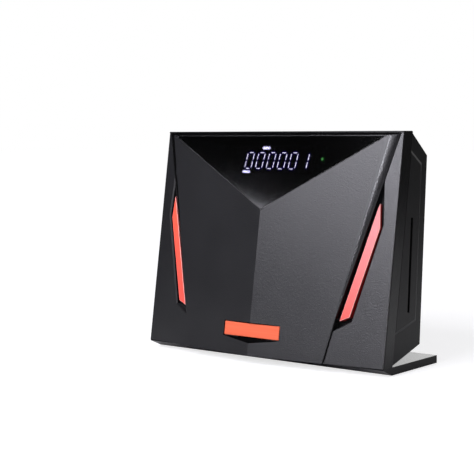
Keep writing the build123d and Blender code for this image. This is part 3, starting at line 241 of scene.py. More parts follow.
class Finish(Shading):
    """One finish of the part. What stays the same all over it is set on the shader's own sockets."""

    def __init__(self, name, **steady):
        self.material = bpy.data.materials.new(name)
        self.material.use_nodes = True
        super().__init__(self.material.node_tree)
        self.shader = self.tree.nodes["Principled BSDF"]
        for socket, value in steady.items():
            self.set(socket.replace("_", " ").title().replace("Ior", "IOR"), value)
        self.place = self.node("TexCoord", output="Object")

    def set(self, socket, value):
        """Feeds one socket of the finish's shader."""
        self.feed(self.shader.inputs[socket], value)

    def noise(self, scale, detail=2.0, stretch=(1.0, 1.0, 1.0)):
        """Noise about 0.5, with `scale` features to the metre."""
        place = self.node("Mapping", None, {"Vector": self.place, "Scale": stretch})
        return self.node("TexNoise", None, {"Vector": place, "Scale": scale, "Detail": detail}, "Fac")

    def between(self, share, low, high):
        """A colour that goes from one to the other with a share from 0 to 1."""
        return self.node("Mix", {"data_type": "RGBA"}, {0: share, 6: low, 7: high}, 2)

    def bump(self, height, depth):
        """Relief of a depth in metres."""
        return self.node("Bump", None, {"Height": height, "Distance": depth, "Strength": 1.0}, "Normal")

    def drifting(self, roughness, share, drift):
        """Sets a roughness that drifts to either side of its value with a share from 0 to 1."""
        self.set("Roughness", roughness * (1 - drift) + roughness * 2 * drift * share)


def moulded(name, colour, roughness, grain=1600.0, depth=0.00002, drift=0.25, **steady):
    """Moulded plastic: an eroded grain, with colour and gloss that drift a little over the part."""
    finish = Finish(name, **steady)
    cloud = finish.noise(*clouds)
    fine = finish.noise(grain)
    low = tuple(part * (1 - drift) for part in colour)
    high = tuple(part * (1 + drift) for part in colour)
    share = cloud * cloud_share + fine * (1 - cloud_share)
    finish.set("Base Color", finish.between(share, low, high))
    finish.drifting(roughness, cloud, 0.15)
    finish.set("Normal", finish.bump(fine, depth))
    return finish


def settled(obj, body, slot, finish, *nodes):
    """Gives a finished piece its finish, hangs it on the body it rides on and hides its nodes. Its slot is
    not used.
    """
    obj.data.materials.clear()
    obj.data.materials.append(finish.material)
    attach(obj, body)
    if nodes:
        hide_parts(*nodes)


def plain(rough):
    """The mesh of an object with its modifiers worked out."""
    return bpy.data.meshes.new_from_object(rough.evaluated_get(bpy.context.evaluated_depsgraph_get()))


def softened(node, width, segments=2, limit=20.0):
    """A copy of a node's shape. Edges that turn more than `limit` degrees are rounded to `width`."""
    mesh = bpy.data.meshes.new(node + "_soft")
    shape = bmesh.new()
    shape.from_mesh(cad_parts[node].data)
    bmesh.ops.remove_doubles(shape, verts=shape.verts, dist=weld_reach)
    bmesh.ops.dissolve_limit(shape, angle_limit=flat_turn, verts=shape.verts, edges=shape.edges)
    bmesh.ops.triangulate(shape, faces=shape.faces, ngon_method="BEAUTY")
    shape.to_mesh(mesh)
    shape.free()
    mesh.shade_smooth()
    rough = placed(node + "_rough", mesh)
    edge = rough.modifiers.new("edge", "BEVEL")
    edge.width = width
    edge.segments = segments
    edge.limit_method = "ANGLE"
    edge.angle_limit = radians(limit)
    edge.use_clamp_overlap = True
    edge.miter_outer = "MITER_ARC"
    flats = rough.modifiers.new("flats", "WEIGHTED_NORMAL")
    flats.weight = 90
    flats.keep_sharp = True
    ready = plain(rough)
    bpy.data.objects.remove(rough)
    return placed(node + "_piece", ready)


shell_black = moulded("shell_black", (0.003, 0.003, 0.0032), 0.22, depth=0.000004, specular_ior_level=0.2)
settled(softened("front_frame", 0.0003), "case", "frame_shell", shell_black, "front_frame")

# ---------------------------------------------------------------- shield panel
# The faceted prow of the front, two flat facets that meet in a ridge, with a rounded bevel down
# each side. Dark grey ABS with a satin eroded grain; the bevels are smoother, and the narrow border
# round the window is black. The bevel on the left, which faces away from the lamps, is painted
# black as shade.
facet_grain = 1400.0              # features to the metre
facet_relief = 0.00009
facet_dark = (0.0075, 0.0075, 0.0083)
facet_light = (0.0102, 0.0102, 0.0114)
# black of the border round the window, also used as painted shade on the left bevel
black_and_painted_shade = (0.0012, 0.0012, 0.0013)
facet_roughness = 0.27
cloud_roughness = 0.08            # what the clouds add to it
bevel_polish = 0.14               # what a bevel and the black take off it
left_bevel_shade = (-0.18, -0.26)       # sideways share of its normal where the painted shade on the left bevel begins and is full
right_bevel = (0.14, 0.22)        # the same for the polish of the other one
border_slope = (0.26, 0.31)       # upward share of the normal of the border round the window

facet_grey = Finish("facet_grey")
facet_normal = facet_grey.node("TexCoord", output="Normal")
sideways = facet_grey.axis(facet_normal, "X")
# The left bevel, which faces away from the lamps, is painted black as shade; the border round the window is
# black.
painted_shade_and_border = facet_grey.either(
    facet_grey.fitted(sideways, *left_bevel_shade),
    facet_grey.fitted(facet_grey.axis(facet_normal, "Z"), *border_slope),
)
smoothed = facet_grey.either(painted_shade_and_border, facet_grey.fitted(sideways, *right_bevel))
cloud = facet_grey.noise(*clouds)
grey = facet_grey.between(cloud, facet_dark, facet_light)
facet_grey.set("Base Color", facet_grey.between(painted_shade_and_border, grey, black_and_painted_shade))
facet_grey.set("Roughness", facet_roughness + cloud_roughness * cloud - bevel_polish * smoothed)
facet_grey.set("Normal", facet_grey.bump(facet_grey.noise(facet_grain), facet_relief))
settled(softened("shield_panel", 0.00025, limit=9.5), "case", "facets", facet_grey, "shield_panel")

# ---------------------------------------------------------------- wings
# The flat panels either side of the shield, each with a long pocket for its light bar. They are
# moulded from the same grey ABS as the shield and stuck to the frame's web.
wing_colour = (0.0088, 0.0088, 0.0098)
wing_grey = moulded("wing_grey", wing_colour, 0.31, grain=facet_grain, depth=facet_relief)
for side in ("left", "right"):
    node = f"wing_{side}"
    settled(softened(node, 0.0004), "case", "facets", wing_grey, node)

# ---------------------------------------------------------------- light bars
# Solid bars of frosted red acrylic, seated in the wings' pockets over a row of lamps. They glow
# faintly, with a painted pale highlight on their edges and painted shade down their sides, and the
# right one pales towards its head with a painted reflection.
face_lean = radians(8.8)
face_out = Vector((0.0, -cos(face_lean), sin(face_lean)))
bar_slope = 0.13                  # of a wing's face, towards the side
bar_glow = 0.16
bar_foot = (0.66, 0.05, 0.036)
# Red of each bar's head; the right one's pale pink is a painted reflection.
bar_heads_and_sheen = (("left", -1, (0.84, 0.065, 0.03)), ("right", 1, (0.72, 0.17, 0.18)))
bar_rise = (0.03, 0.085)          # heights between which the foot's red becomes the head's
bar_frost = (0.9, 0.25, 0.2)
# painted pale highlight on the bars' edges
bar_edge_highlight = (0.9, 0.42, 0.38)
# painted shade on the bars' sides
bar_side_shade = (0.20, 0.006, 0.004)
highlight_turn = (0.97, 0.85)          # how square to the face a bar is where the painted highlight on its edge begins and is full
shade_turn = (0.6, 0.2)            # and where the painted shade on its side begins and is full
frost_share = 0.2

for side, way, head in bar_heads_and_sheen:
    node = f"light_bar_{side}"
    bar_red = Finish(
        f"bar_red_{side}", roughness=0.42, specular_ior_level=0.38, emission_strength=bar_glow
    )
    outward = (face_out + Vector((way * bar_slope, 0.0, 0.0))).normalized()
    square = bar_red.measured("DOT_PRODUCT", bar_red.node("TexCoord", output="Normal"), tuple(outward))
    frost = bar_red.noise(1100.0)
    # From foot to head the red changes; on the right bar the pale head is a painted reflection.
    body = bar_red.between(bar_red.fitted(bar_red.axis(bar_red.place, "Z"), *bar_rise), bar_foot, head)
    frosted = bar_red.between(frost * frost_share, body, bar_frost)
    # Painted highlight along the bars' edges, then painted shade down their sides; the glow takes both.
    highlighted = bar_red.between(bar_red.fitted(square, *highlight_turn), frosted, bar_edge_highlight)
    coloured = bar_red.between(bar_red.fitted(square, *shade_turn), highlighted, bar_side_shade)
    bar_red.set("Base Color", coloured)
    bar_red.set("Emission Color", coloured)
    bar_red.set("Normal", bar_red.bump(frost, 0.00001))
    settled(softened(node, 0.0005, segments=3), "case", "light_guide", bar_red, node)

# ---------------------------------------------------------------- display window
# The triangular window over the display: a flat pane of smoked acrylic, polished on the outside.
# Only what is lit behind it shows through.
smoked = Finish(
    "smoked_acrylic", roughness=0.075, ior=1.49, transmission_weight=1.0, specular_ior_level=0.15
)
smoke = smoked.noise(25.0)
smoked.set("Base Color", smoked.between(smoke, (0.024, 0.024, 0.03), (0.03, 0.03, 0.037)))
settled(softened("display_window", 0.00015), "case", "window", smoked, "display_window")

# ---------------------------------------------------------------- display
# The fluorescent display behind the window: a black carrier with a row of six slanted figures,
# each made of thin strokes that glow white, with a wide strip of painted violet glow under each
# stroke for the haze of light round it, and a row of dashes over them and another under them. All
# of it lies on the carrier's face.
front_foot = -25.394              # Y of the front's plane at the top of the stand
stand_top = 5.3
face_foot = Vector((0.0, front_foot, stand_top))
display_middle = 120.0            # up the front
module_level = 0.5                # face of the carrier, above the front's plane
figures = "000001"
figure_left = -23.2               # foot of the first figure, along the front
figure_low = display_middle - 5.4  # and up it
figure_height = 10.0
figure_width = 5.0
figure_pitch = 8.45
figure_slant = 0.2                # sideways for each millimetre up
stroke_width = 0.34
stroke_level = 0.10               # above the carrier's face
strip_thickness = 0.06
# the haze is a painted glow: a wide glowing strip under each stroke
haze_width = 2.2
haze_level = 0.02
corner_cut = 0.85                 # outer corners of a figure to the ends of its strokes
acute_gap = 0.3                   # the same ends drawn in further, at a sharp corner
obtuse_gap = 0.5                  # and at a wide one
waist = 0.75                      # middle of a figure to the ends of its upright strokes
dash_rows = ((14.0, 12.9), (-0.4, -2.2))  # first dash of each row, from the first figure's foot
dashes = 4
dash_pitch = 1.35
dash_half = 0.3                   # half its length without its ends
dash_width = 2.0
beads = 1500.0                    # grains of phosphor to the metre
bead_edges = (0.3, 0.6)           # noise between which a bead's rim becomes its middle
strokes_of = {
    "0": ("top", "high left", "high right", "low left", "low right", "foot"),
    "1": ("high right", "low right"),
}


def on_face(x, up, level):
    """A point from millimetres along the front, up its slope and out of it."""
    rise = Vector((0.0, sin(face_lean), cos(face_lean)))
    return (face_foot + Vector((x, 0.0, 0.0)) + rise * up + face_out * level) * MM


def strips(name, lines, width, level):
    """Flat strips along lines on the display, given by both ends in millimetres."""
    shape = bmesh.new()
    for start, end in lines:
        along = (Vector(end) - Vector(start)).normalized() * width / 2
        aside = Vector((-along.y, along.x))
        ends = (Vector(start) - along, Vector(start) + aside, Vector(end) + aside)
        ends += (Vector(end) + along, Vector(end) - aside, Vector(start) - aside)
        rings = [
            [shape.verts.new(on_face(*corner, height)) for corner in ends]
            for height in (level, level + strip_thickness)
        ]
        shape.faces.new(rings[1])
        shape.faces.new(list(reversed(rings[0])))
        for number in range(len(ends)):
            after = (number + 1) % len(ends)
            shape.faces.new((rings[0][number], rings[0][after], rings[1][after], rings[1][number]))
    bmesh.ops.recalc_face_normals(shape, faces=shape.faces)
    mesh = bpy.data.meshes.new(name)
    shape.to_mesh(mesh)
    shape.free()
    return placed(name, mesh)


half = figure_height / 2
ends_of = {
    "top": (
        (corner_cut + obtuse_gap, figure_height), (figure_width - corner_cut - acute_gap, figure_height)
    ),
    "foot": ((corner_cut + acute_gap, 0.0), (figure_width - corner_cut - obtuse_gap, 0.0)),
    "high left": ((0.0, half + waist), (0.0, figure_height - corner_cut)),
    "high right": ((figure_width, half + waist), (figure_width, figure_height - corner_cut)),
    "low left": ((0.0, corner_cut), (0.0, half - waist)),
    "low right": ((figure_width, corner_cut), (figure_width, half - waist)),
}
lit_lines = [
    tuple(
        (figure_left + place * figure_pitch + x + figure_slant * up, figure_low + up)
        for x, up in ends_of[stroke]
    )
    for place, figure in enumerate(figures)
    for stroke in strokes_of[figure]
]
dash_lines = [
    ((middle_x - dash_half, figure_low + above), (middle_x + dash_half, figure_low + above))
    for aside, above in dash_rows
    for middle_x in [figure_left + aside + dash_pitch * dash for dash in range(dashes)]
]

carrier_black = moulded("carrier_black", (0.004, 0.004, 0.005), 0.4)
settled(softened("display_module", 0.0001), "case", "chips", carrier_black, "display_module")
# figure_haze is a painted violet glow that stands for the light spread round the strokes.
for name, lines, width, level, strength, low, high in (
    ("figure_haze", lit_lines, haze_width, haze_level, 10.0, (0.010, 0.005, 0.07), (0.025, 0.012, 0.14)),
    ("figure_strokes", lit_lines, stroke_width, stroke_level, 50.0, (0.82, 0.80, 0.86), (1.0, 0.98, 0.93)),
    ("figure_marks", dash_lines, dash_width, stroke_level, 34.0, (0.35, 0.32, 0.75), (0.95, 0.92, 1.0)),
):
    glowing = Finish(name, emission_strength=strength, roughness=0.5)
    glow_colour = glowing.between(glowing.fitted(glowing.noise(beads, 1.0), *bead_edges), low, high)
    glowing.set("Base Color", glow_colour)
    glowing.set("Emission Color", glow_colour)
    settled(strips(name, lines, width, module_level + level), "case", "chips", glowing)

# ---------------------------------------------------------------- standby lamp and remote eye
# A domed green lamp beside the figures, bright only at its tip, and the dark lens that takes the
# signals of a remote control. Both stand on the display board.
led_tip = on_face(35.5, display_middle + 1.0, 0.5)
led_strength = 12.0
led_lit = (0.22, 0.95, 0.2)
led_unlit = (0.001, 0.03, 0.002)
led_fade = (0.0002, 0.0011)       # distances from the tip between which the light ends

led_green = Finish("led_green", roughness=0.25, emission_strength=led_strength)
from_tip = led_green.measured("DISTANCE", led_green.place, tuple(led_tip))
led_colour = led_green.between(led_green.fitted(from_tip, *led_fade), led_lit, led_unlit)
led_green.set("Base Color", led_colour)
led_green.set("Emission Color", led_colour)
settled(softened("standby_led", 0.0003, segments=3), "case", "led_green", led_green, "standby_led")

eye_lens = moulded("eye_lens", (0.012, 0.004, 0.004), 0.15, depth=0.000002)
settled(softened("remote_eye", 0.00025, segments=3), "case", "chips", eye_lens, "remote_eye")

# ---------------------------------------------------------------- name plate
# A small plate of aluminium, brushed along its length, anodised copper orange and left bare. It is
# stuck in a recess of the shield.
copper = Finish("copper_orange", metallic=0.35, ior=1.5)
brushed = copper.noise(900.0, 3.0, (0.03, 1.0, 1.0))
copper.set("Base Color", copper.between(brushed, (0.72, 0.11, 0.045), (0.9, 0.17, 0.075)))
copper.set("Roughness", 0.3 + 0.15 * brushed)
copper.set("Normal", copper.bump(brushed, 0.000006))
settled(softened("name_plate", 0.00012), "case", "copper_trim", copper, "name_plate")

# ---------------------------------------------------------------- rear housing
# The deep shell behind the frame, with a grille and vents for the air and a recess for the socket
# plate. It is moulded in black ABS with the same grain, and four long screws hold it to the frame.
housing_black = moulded(
    "housing_black", (0.006, 0.006, 0.0063), 0.36, depth=0.000008, specular_ior_level=0.15
)
settled(softened("rear_housing", 0.0004), "case", "housing", housing_black, "rear_housing")

# ---------------------------------------------------------------- stand
# The base plate, black ABS with a polished upper face and grained sides, and four wedges on it that
# carry the body's leaning belly. It stands on four glued rubber feet.
polished_slope = (0.97, 0.995)    # upward share of the normal where the polish begins and is full
stand_black = moulded("stand_black", (0.006, 0.006, 0.0065), 0.2, depth=0.000004, specular_ior_level=0.15)
upright_share = stand_black.axis(stand_black.node("TexCoord", output="Normal"), "Z")
stand_black.set("Coat Weight", stand_black.fitted(upright_share, *polished_slope))
stand_black.set("Coat Roughness", 0.12)
settled(softened("stand_plate", 0.0004, segments=3), "case", "stand", stand_black, "stand_plate")

foot_rubber = moulded("foot_rubber", (0.012, 0.012, 0.012), 0.75, grain=700.0, depth=0.00003)
settled(softened("stand_feet", 0.0002), "case", "feet", foot_rubber, "stand_feet")

# ---------------------------------------------------------------- socket plate
# A sheet of steel let into the rear wall, with openings for the sockets. It has a black powder
# coat, which leaves the surface a little uneven, like the skin of an orange.
rear_lean = radians(3.45)
rear_in = Vector((0.0, -cos(rear_lean), sin(rear_lean)))
body_foot = 42.5                  # front to rear wall, along the bottom of the body
belly_rise = 14.7                 # floor to the rear wall's lower edge
rear_foot = Vector((0.0, front_foot + body_foot, belly_rise))


def on_back(x, up, depth):
    """A point from millimetres along the rear wall, up it and into the body."""
    rise = Vector((0.0, sin(rear_lean), cos(rear_lean)))
    return (rear_foot + Vector((x, 0.0, 0.0)) + rise * up + rear_in * depth) * MM


powder = moulded("powder_coat", (0.016, 0.016, 0.018), 0.5, grain=1400.0, depth=0.00004)
settled(softened("socket_plate", 0.0001), "case", "plate", powder, "socket_plate")

# ---------------------------------------------------------------- sockets of black nylon
# The power switch, the power inlet, the network, sound and optical sockets and the card reader are
# moulded in black nylon, duller than the case and with a coarser grain. The switch's rocker is
# smoother, and the shutter that keeps dust out of the optical socket is a dark grey.
nylon = moulded("black_nylon", (0.012, 0.012, 0.0125), 0.45, grain=1100.0)
for node in ("switch_housing", "power_inlet", "lan_socket", "av_jack", "optical_socket", "card_reader"):
    settled(softened(node, 0.00012), "case", "socket_black", nylon, node)
settled(softened("hdmi_tongue", 0.0001), "case", "socket_black", nylon, "hdmi_tongue")

rocker_black = moulded("rocker_black", (0.02, 0.02, 0.021), 0.28, depth=0.000006)
rocker = softened("switch_rocker", 0.00025, segments=3)
settled(rocker, "rocker", "socket_black", rocker_black, "switch_rocker")

shutter_grey = moulded("shutter_grey", (0.035, 0.033, 0.032), 0.35, depth=0.000006)
settled(softened("optical_shutter", 0.0001), "shutter", "socket_black", shutter_grey, "optical_shutter")

# ---------------------------------------------------------------- plated sockets and contacts
# The shells of the data and video sockets and the pin of the inlet are nickel plated. The springs
# of the network socket and of the card reader are plated with gold.


def plated(name, colour, roughness, drawn=(1.0, 1.0, 0.08), scale=2600.0):
    """Plated metal: faint drawing marks, with colour and gloss that drift a little over the part."""
    finish = Finish(name, metallic=1.0)
    marks = finish.noise(scale, 2.0, drawn)
    cloud = finish.noise(90.0, 3.0)
    finish.set("Base Color", finish.between(cloud, tuple(part * 0.8 for part in colour), colour))
    finish.drifting(roughness, marks, 0.3)
    finish.set("Normal", finish.bump(marks, 0.000003))
    return finish


nickel = plated("nickel_plate", (0.70, 0.68, 0.63), 0.26)
for node in ("usb_shell", "hdmi_shell", "inlet_pin"):
    settled(softened(node, 0.00008), "case", "nickel", nickel, node)

gold_plate = plated("gold_plate", (0.83, 0.60, 0.24), 0.22)
for node in ("lan_contacts", "card_contacts"):
    settled(softened(node, 0.00004), "case", "gold", gold_plate, node)

tongue_white = moulded("tongue_white", (0.72, 0.71, 0.68), 0.42, depth=0.000006, drift=0.06)
settled(softened("usb_tongue", 0.0001), "case", "insulator", tongue_white, "usb_tongue")

# ---------------------------------------------------------------- aerial connectors
# Two connectors for satellite cables, turned from brass and nickel plated. Each has a 3/8 inch
# thread of 32 turns to the inch, a flat nut and a white insulator that holds the contact inside.
aerial_places = ((-52.0, 23.0), (-67.0, 23.0))
inch = 25.4
thread_radius = inch * 3 / 16
thread_pitch = inch / 32
thread_root = 4.35                # radius of the neck under the thread
thread_from = 2.3                 # rear wall to the first turn
thread_turns = 7.5
thread_steps = 40                 # to a turn
thread_corners = 4                # of the ridge's section
thread_match = 0.1                # points this close to the thread's radius belong to it


class Recipe:
    """A Geometry Nodes group under construction, from points to a finished mesh."""

    def __init__(self, name, **inputs):
        self.tree = bpy.data.node_groups.new(name, "GeometryNodeTree")
        new_socket = self.tree.interface.new_socket
        new_socket(name="Geometry", in_out="INPUT", socket_type="NodeSocketGeometry")
        self.labels = {
            label: new_socket(name=label, in_out="INPUT", socket_type="NodeSocket" + kind).identifier
            for label, kind in inputs.items()
        }
        new_socket(name="Geometry", in_out="OUTPUT", socket_type="NodeSocketGeometry")
        self.given = self.tree.nodes.new("NodeGroupInput").outputs
        self.result = self.tree.nodes.new("NodeGroupOutput").inputs[0]

    def step(self, kind, sockets, output=0, **settings):
        """Adds one node, with its settings and with the values or links of its sockets."""
        made = self.tree.nodes.new(kind)
        for name, value in settings.items():
            setattr(made, name, value)
        for name, value in sockets.items():
            if isinstance(value, bpy.types.NodeSocket):
                self.tree.links.new(value, made.inputs[name])
            else:
                made.inputs[name].default_value = value
        return made.outputs[output]

    def laid_out(self, piece):
        """Sets the piece at each point, turned by the group's inputs, as one mesh with its material."""
        copies = self.step(
            "GeometryNodeInstanceOnPoints",
            {"Points": self.given["Geometry"], "Instance": piece, "Rotation": self.given["Turn"]},
        )
        whole = self.step("GeometryNodeRealizeInstances", {"Geometry": copies})
        done = self.step("GeometryNodeSetMaterial", {"Geometry": whole, "Material": self.given["Finish"]})
        self.tree.links.new(done, self.result)


def made_by(recipe, name, *batches):
    """One mesh of what a recipe makes, from batches of points with the values of its inputs."""
    shape = bmesh.new()
    for points, values in batches:
        seeds = bpy.data.meshes.new(name + "_seeds")
        seeds.from_pydata([tuple(point) for point in points], [], [])
        rough = placed(name + "_rough", seeds)
        step = rough.modifiers.new("made", "NODES")
        step.node_group = recipe.tree
        for label, value in values.items():
            step[recipe.labels[label]] = value
        ready = plain(rough)
        rough.modifiers.remove(step)
        bpy.data.objects.remove(rough)
        shape.from_mesh(ready)
    whole = bpy.data.meshes.new(name)
    shape.to_mesh(whole)
    shape.free()
    whole.shade_smooth()
    whole.set_sharp_from_angle(angle=radians(35))
    return placed(name, whole)


thread = Recipe(
    "thread", Radius="Float", Pitch="Float", Turns="Float", Depth="Float", Turn="Vector", Finish="Material"
)
rise = thread.step(
    "ShaderNodeMath", {0: thread.given["Pitch"], 1: thread.given["Turns"]}, operation="MULTIPLY"
)
middle_radius = thread.step(
    "ShaderNodeMath", {0: thread.given["Radius"], 1: thread.given["Depth"]}, operation="SUBTRACT"
)
helix = thread.step(
    "GeometryNodeCurveSpiral",
    {
        "Resolution": thread_steps,
        "Rotations": thread.given["Turns"],
        "Start Radius": middle_radius,
        "End Radius": middle_radius,
        "Height": rise,
    },
)
section = thread.step(
    "GeometryNodeCurvePrimitiveCircle", {"Resolution": thread_corners, "Radius": thread.given["Depth"]}
)
ridge = thread.step("GeometryNodeCurveToMesh", {"Curve": helix, "Profile Curve": section, "Fill Caps": True})
thread.laid_out(ridge)

outward_turn = (-rear_in).to_track_quat("Z", "Y").to_euler()
thread_sizes = {
    "Radius": thread_radius * MM,
    "Pitch": thread_pitch * MM,
    "Turns": thread_turns,
    "Depth": (thread_radius - thread_root) * MM,
    "Turn": tuple(outward_turn),
    "Finish": nickel.material,
}
ridges = made_by(
    thread, "aerial_threads", ([on_back(x, up, -thread_from) for x, up in aerial_places], thread_sizes)
)
settled(ridges, "case", "nickel", nickel)

# The connectors' solids are as thick as the thread, so their necks are brought in to its root.
connector = softened("lnb_connectors", 0.00008)
for point in connector.data.vertices:
    for x, up in aerial_places:
        offset = point.co - on_back(x, up, 0.0)
        spoke = offset - rear_in * offset.dot(rear_in)
        if abs(spoke.length - thread_radius * MM) < thread_match * MM:
            point.co -= spoke.normalized() * (spoke.length - thread_root * MM)
settled(connector, "case", "nickel", nickel, "lnb_connectors")
settled(softened("lnb_nuts", 0.00015), "case", "nickel", nickel, "lnb_nuts")
settled(softened("lnb_insulators", 0.0001), "case", "insulator", tongue_white, "lnb_insulators")

# ---------------------------------------------------------------- circuit boards
# The main board inside the rear housing, the display board and the two lamp boards behind the
# front: glass fibre with a green solder mask over copper tracks, and tinned holes between them.
board_green = (0.004, 0.045, 0.018)
track_green = (0.012, 0.10, 0.04)
tin = (0.55, 0.54, 0.5)
hole_edges = (0.16, 0.12)         # where a hole's tin ends and is full, in shares of the pitch

mask = Finish("solder_mask", roughness=0.3)
flat_place = mask.node("Mapping", None, {"Vector": mask.place, "Rotation": (radians(90), 0.0, 0.0)})
long_tracks = mask.node(
    "TexBrick",
    {"offset": 0.37, "offset_frequency": 3},
    {"Vector": flat_place, "Scale": 260.0, "Mortar Size": 0.035, "Brick Width": 2.3, "Row Height": 0.45},
    "Fac",
)
short_tracks = mask.node(
    "TexBrick",
    {"offset": 0.21, "offset_frequency": 2},
    {"Vector": flat_place, "Scale": 120.0, "Mortar Size": 0.03, "Brick Width": 0.55, "Row Height": 1.9},
    "Fac",
)
holes = mask.node("TexVoronoi", None, {"Vector": flat_place, "Scale": 240.0, "Randomness": 0.7}, "Distance")
tracks = mask.either(long_tracks, short_tracks)
pads = mask.fitted(holes, *hole_edges)
mask.set("Base Color", mask.between(pads, mask.between(tracks, board_green, track_green), tin))
mask.set("Metallic", pads)
mask.set("Normal", mask.bump(tracks, 0.00002))
for node in ("main_board", "display_board", "lamp_boards"):
    settled(softened(node, 0.0001), "case", "board", mask, node)

# ---------------------------------------------------------------- parts on the boards
# The processor under its finned heat sink, memory, inductors, capacitors, the tuner's can and the
# radio module with its shield, all soldered to the main board, and the lamps behind the bars.
board_face = 14.1                 # rear wall to the face of the main board
can_base = 1.5                    # board to the can of a capacitor
radio_base = 0.8                  # board to the radio module's shield
seat_blur = 0.1                   # height over which one finish becomes the other


def above_board(finish, height):
    """0 below a height over the main board, in millimetres, and 1 above it."""
    seat = on_back(0.0, 0.0, board_face + height).dot(rear_in)
    reach = finish.measured("DOT_PRODUCT", finish.place, tuple(rear_in))
    return finish.fitted(reach, seat, seat + seat_blur * MM)


epoxy = moulded("black_epoxy", (0.010, 0.010, 0.011), 0.5, grain=1300.0, depth=0.00001)
for node in ("processor", "memory_chips", "inductors"):
    settled(softened(node, 0.00012), "case", "chips", epoxy, node)

anodised = plated("black_anodised", (0.035, 0.035, 0.038), 0.38, drawn=(1.0, 0.05, 1.0))
settled(softened("heat_sink", 0.00012), "case", "sink", anodised, "heat_sink")

tinned = plated("tinned_steel", (0.62, 0.62, 0.61), 0.34, drawn=(0.1, 1.0, 1.0), scale=1500.0)
settled(softened("tuner_can", 0.0003), "case", "steel", tinned, "tuner_can")

can_metal = plated("can_aluminium", (0.66, 0.67, 0.69), 0.3)
bare = above_board(can_metal, can_base)
can_metal.set("Metallic", bare)
can_metal.set("Base Color", can_metal.between(bare, (0.012, 0.012, 0.012), (0.62, 0.63, 0.65)))
settled(softened("capacitors", 0.0004, segments=3), "case", "can_aluminium", can_metal, "capacitors")

shielded = plated("radio_shield", (0.64, 0.64, 0.63), 0.3, drawn=(0.1, 1.0, 1.0))
bare = above_board(shielded, radio_base)
shielded.set("Metallic", bare)
shielded.set("Base Color", shielded.between(bare, (0.01, 0.06, 0.10), (0.6, 0.6, 0.59)))
settled(softened("radio_module", 0.00015), "case", "shield_can", shielded, "radio_module")

lamp_body = moulded("lamp_body", (0.8, 0.78, 0.66), 0.35, depth=0.000006, drift=0.08)
settled(softened("lamps", 0.0001), "case", "insulator", lamp_body, "lamps")

# ---------------------------------------------------------------- flat cable
# A white ribbon of parallel wires between the main board and the display board, pressed into a
# pale connector at each end. The wires show as fine ribs along it.
ribbon = Finish("ribbon_white", roughness=0.45)
ribs = ribbon.node(
    "TexWave",
    {"wave_type": "BANDS", "bands_direction": "X"},
    {"Vector": ribbon.place, "Scale": 160.0, "Distortion": 0.0},
    "Fac",
)
ribbon.set("Base Color", ribbon.between(ribs, (0.55, 0.56, 0.58), (0.78, 0.78, 0.76)))
ribbon.set("Normal", ribbon.bump(ribs, 0.00004))
settled(softened("display_cable", 0.00005), "case", "flat_cable", ribbon, "display_cable")
plug_white = moulded("plug_white", (0.70, 0.69, 0.64), 0.45, depth=0.000006, drift=0.06)
settled(softened("cable_connectors", 0.0001), "case", "insulator", plug_white, "cable_connectors")

# ---------------------------------------------------------------- screws
# Zinc-plated steel screws with a cross recess. One set of nodes makes a screw from its sizes and
# sets it out at its places. Its head tapers over a straight rim, and crossed blades cut the recess.
screw_sides = 28
rim_share = 0.55                  # of the head's height
crown_share = 0.72                # radius of the head's top, of the rim's
blade_long, blade_wide = 1.1, 0.26  # of the head's radius
blade_high = 1.2                  # of the head's height

# Radius and height of each head, then radius and length of its shank.
cover_screw = (2.9, 1.6, 1.5, 24.2)
plate_screw = (2.0, 1.2, 1.0, 5.7)
board_screw = (2.6, 1.3, 1.3, 7.6)
panel_screw = (2.0, 1.2, 1.0, 3.4)
stand_head = (2.9, 2.0, 1.5)
stand_rows = ((-7.0, 12.0), (10.0, 16.8))  # Y of each row, and the length of its shanks

# Where the heads rest: on the rear wall in its recesses, on the socket plate, on the main board,
# on the boards behind the front, and in the sinkings under the stand.
cover_depth = 1.8
board_back = -4.6                 # of a board behind the front, from the front's plane
stand_depth = 2.8
cover_places = [(x, up) for x in (-81.5, 81.5) for up in (4.0, 104.4)]
plate_places = [(x, up) for x in (-77.6, 77.6) for up in (11.5, 34.5)]
board_places = ((-78.0, 44.0), (-78.0, 94.4), (78.0, 94.4), (27.5, 44.0))
display_places = [(x, display_middle + rise) for x in (-46.5, 46.5) for rise in (-10.0, 10.0)]
lamp_places = [(way * x, up) for way in (-1, 1) for x, up in ((63.65, 29.98), (76.93, 79.22))]
stand_reach = 62.0                # of a stand screw, to either side

zinc = plated("zinc_plate", (0.58, 0.58, 0.57), 0.32, drawn=(1.0, 1.0, 1.0), scale=1200.0)
screws = Recipe(
    "screws", Head="Float", Height="Float", Shank="Float", Length="Float", Turn="Vector", Finish="Material"
)


def scaled(value, factor):
    """A named input of the screw's group, multiplied by a factor."""
    return screws.step("ShaderNodeMath", {0: value, 1: factor}, operation="MULTIPLY")


def barrel(radius, depth, lift, top_share=1.0):
    """A cylinder from `lift` along the screw's axis, narrowed to a share at its far end."""
    solid = screws.step(
        "GeometryNodeMeshCone",
        {
            "Vertices": screw_sides,
            "Radius Top": scaled(radius, top_share),
            "Radius Bottom": radius,
            "Depth": depth,
        },
    )
    offset = screws.step("ShaderNodeCombineXYZ", {"Z": lift})
    return screws.step("GeometryNodeTransform", {"Geometry": solid, "Translation": offset})


def combined(operation, first, others):
    """The union of some solids, or the first one with the others cut away."""
    made = screws.tree.nodes.new("GeometryNodeMeshBoolean")
    made.operation = operation
    if first:
        screws.tree.links.new(first, made.inputs["Mesh 1"])
    for other in others:
        screws.tree.links.new(other, made.inputs["Mesh 2"])
    return made.outputs[0]


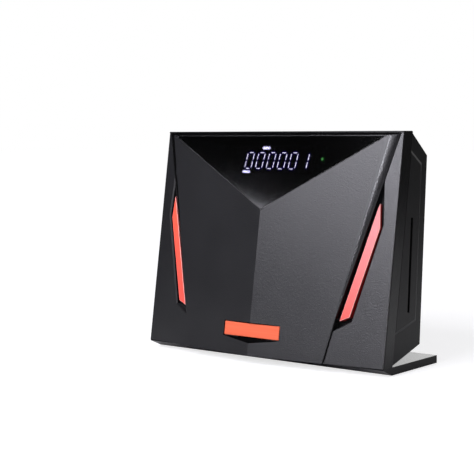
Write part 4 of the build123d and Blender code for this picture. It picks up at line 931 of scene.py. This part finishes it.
head, height, shank, length = (screws.given[label] for label in ("Head", "Height", "Shank", "Length"))
crown = barrel(head, scaled(height, 1 - rim_share), scaled(height, rim_share), crown_share)
rim = barrel(head, scaled(height, rim_share), 0.0)
stem = barrel(shank, length, scaled(length, -1.0))
blade_size = screws.step(
    "ShaderNodeCombineXYZ",
    {"X": scaled(head, blade_long), "Y": scaled(head, blade_wide), "Z": scaled(height, blade_high)},
)
blade = screws.step("GeometryNodeMeshCube", {"Size": blade_size})
lift = screws.step("ShaderNodeCombineXYZ", {"Z": height})
blades = [
    screws.step(
        "GeometryNodeTransform", {"Geometry": blade, "Translation": lift, "Rotation": (0.0, 0.0, turned)}
    )
    for turned in (0.0, radians(90))
]
screws.laid_out(combined("DIFFERENCE", combined("UNION", None, (crown, rim, stem)), blades))

inward_turn = rear_in.to_track_quat("Z", "Y").to_euler()
behind_turn = (-face_out).to_track_quat("Z", "Y").to_euler()
down_turn = Vector((0.0, 0.0, -1.0)).to_track_quat("Z", "Y").to_euler()


def screw_batch(points, turn, sizes):
    """Places and inputs for one batch of like screws."""
    values = {label: size * MM for label, size in zip(("Head", "Height", "Shank", "Length"), sizes)}
    return points, {**values, "Turn": tuple(turn), "Finish": zinc.material}


screw_sets = {
    "cover_screws": [
        screw_batch([on_back(x, up, cover_depth) for x, up in cover_places], outward_turn, cover_screw)
    ],
    "plate_screws": [
        screw_batch([on_back(x, up, 0.0) for x, up in plate_places], outward_turn, plate_screw)
    ],
    "board_screws": [
        screw_batch([on_back(x, up, board_face) for x, up in board_places], inward_turn, board_screw)
    ],
    "display_screws": [
        screw_batch([on_face(x, up, board_back) for x, up in display_places], behind_turn, panel_screw)
    ],
    "lamp_screws": [
        screw_batch([on_face(x, up, board_back) for x, up in lamp_places], behind_turn, panel_screw)
    ],
    "stand_screws": [
        screw_batch(
            [Vector((way * stand_reach, y, stand_depth)) * MM for way in (-1, 1)],
            down_turn,
            (*stand_head, length),
        )
        for y, length in stand_rows
    ],
}
for node, batches in screw_sets.items():
    settled(made_by(screws, node + "_made", *batches), "case", "steel", zinc, node)
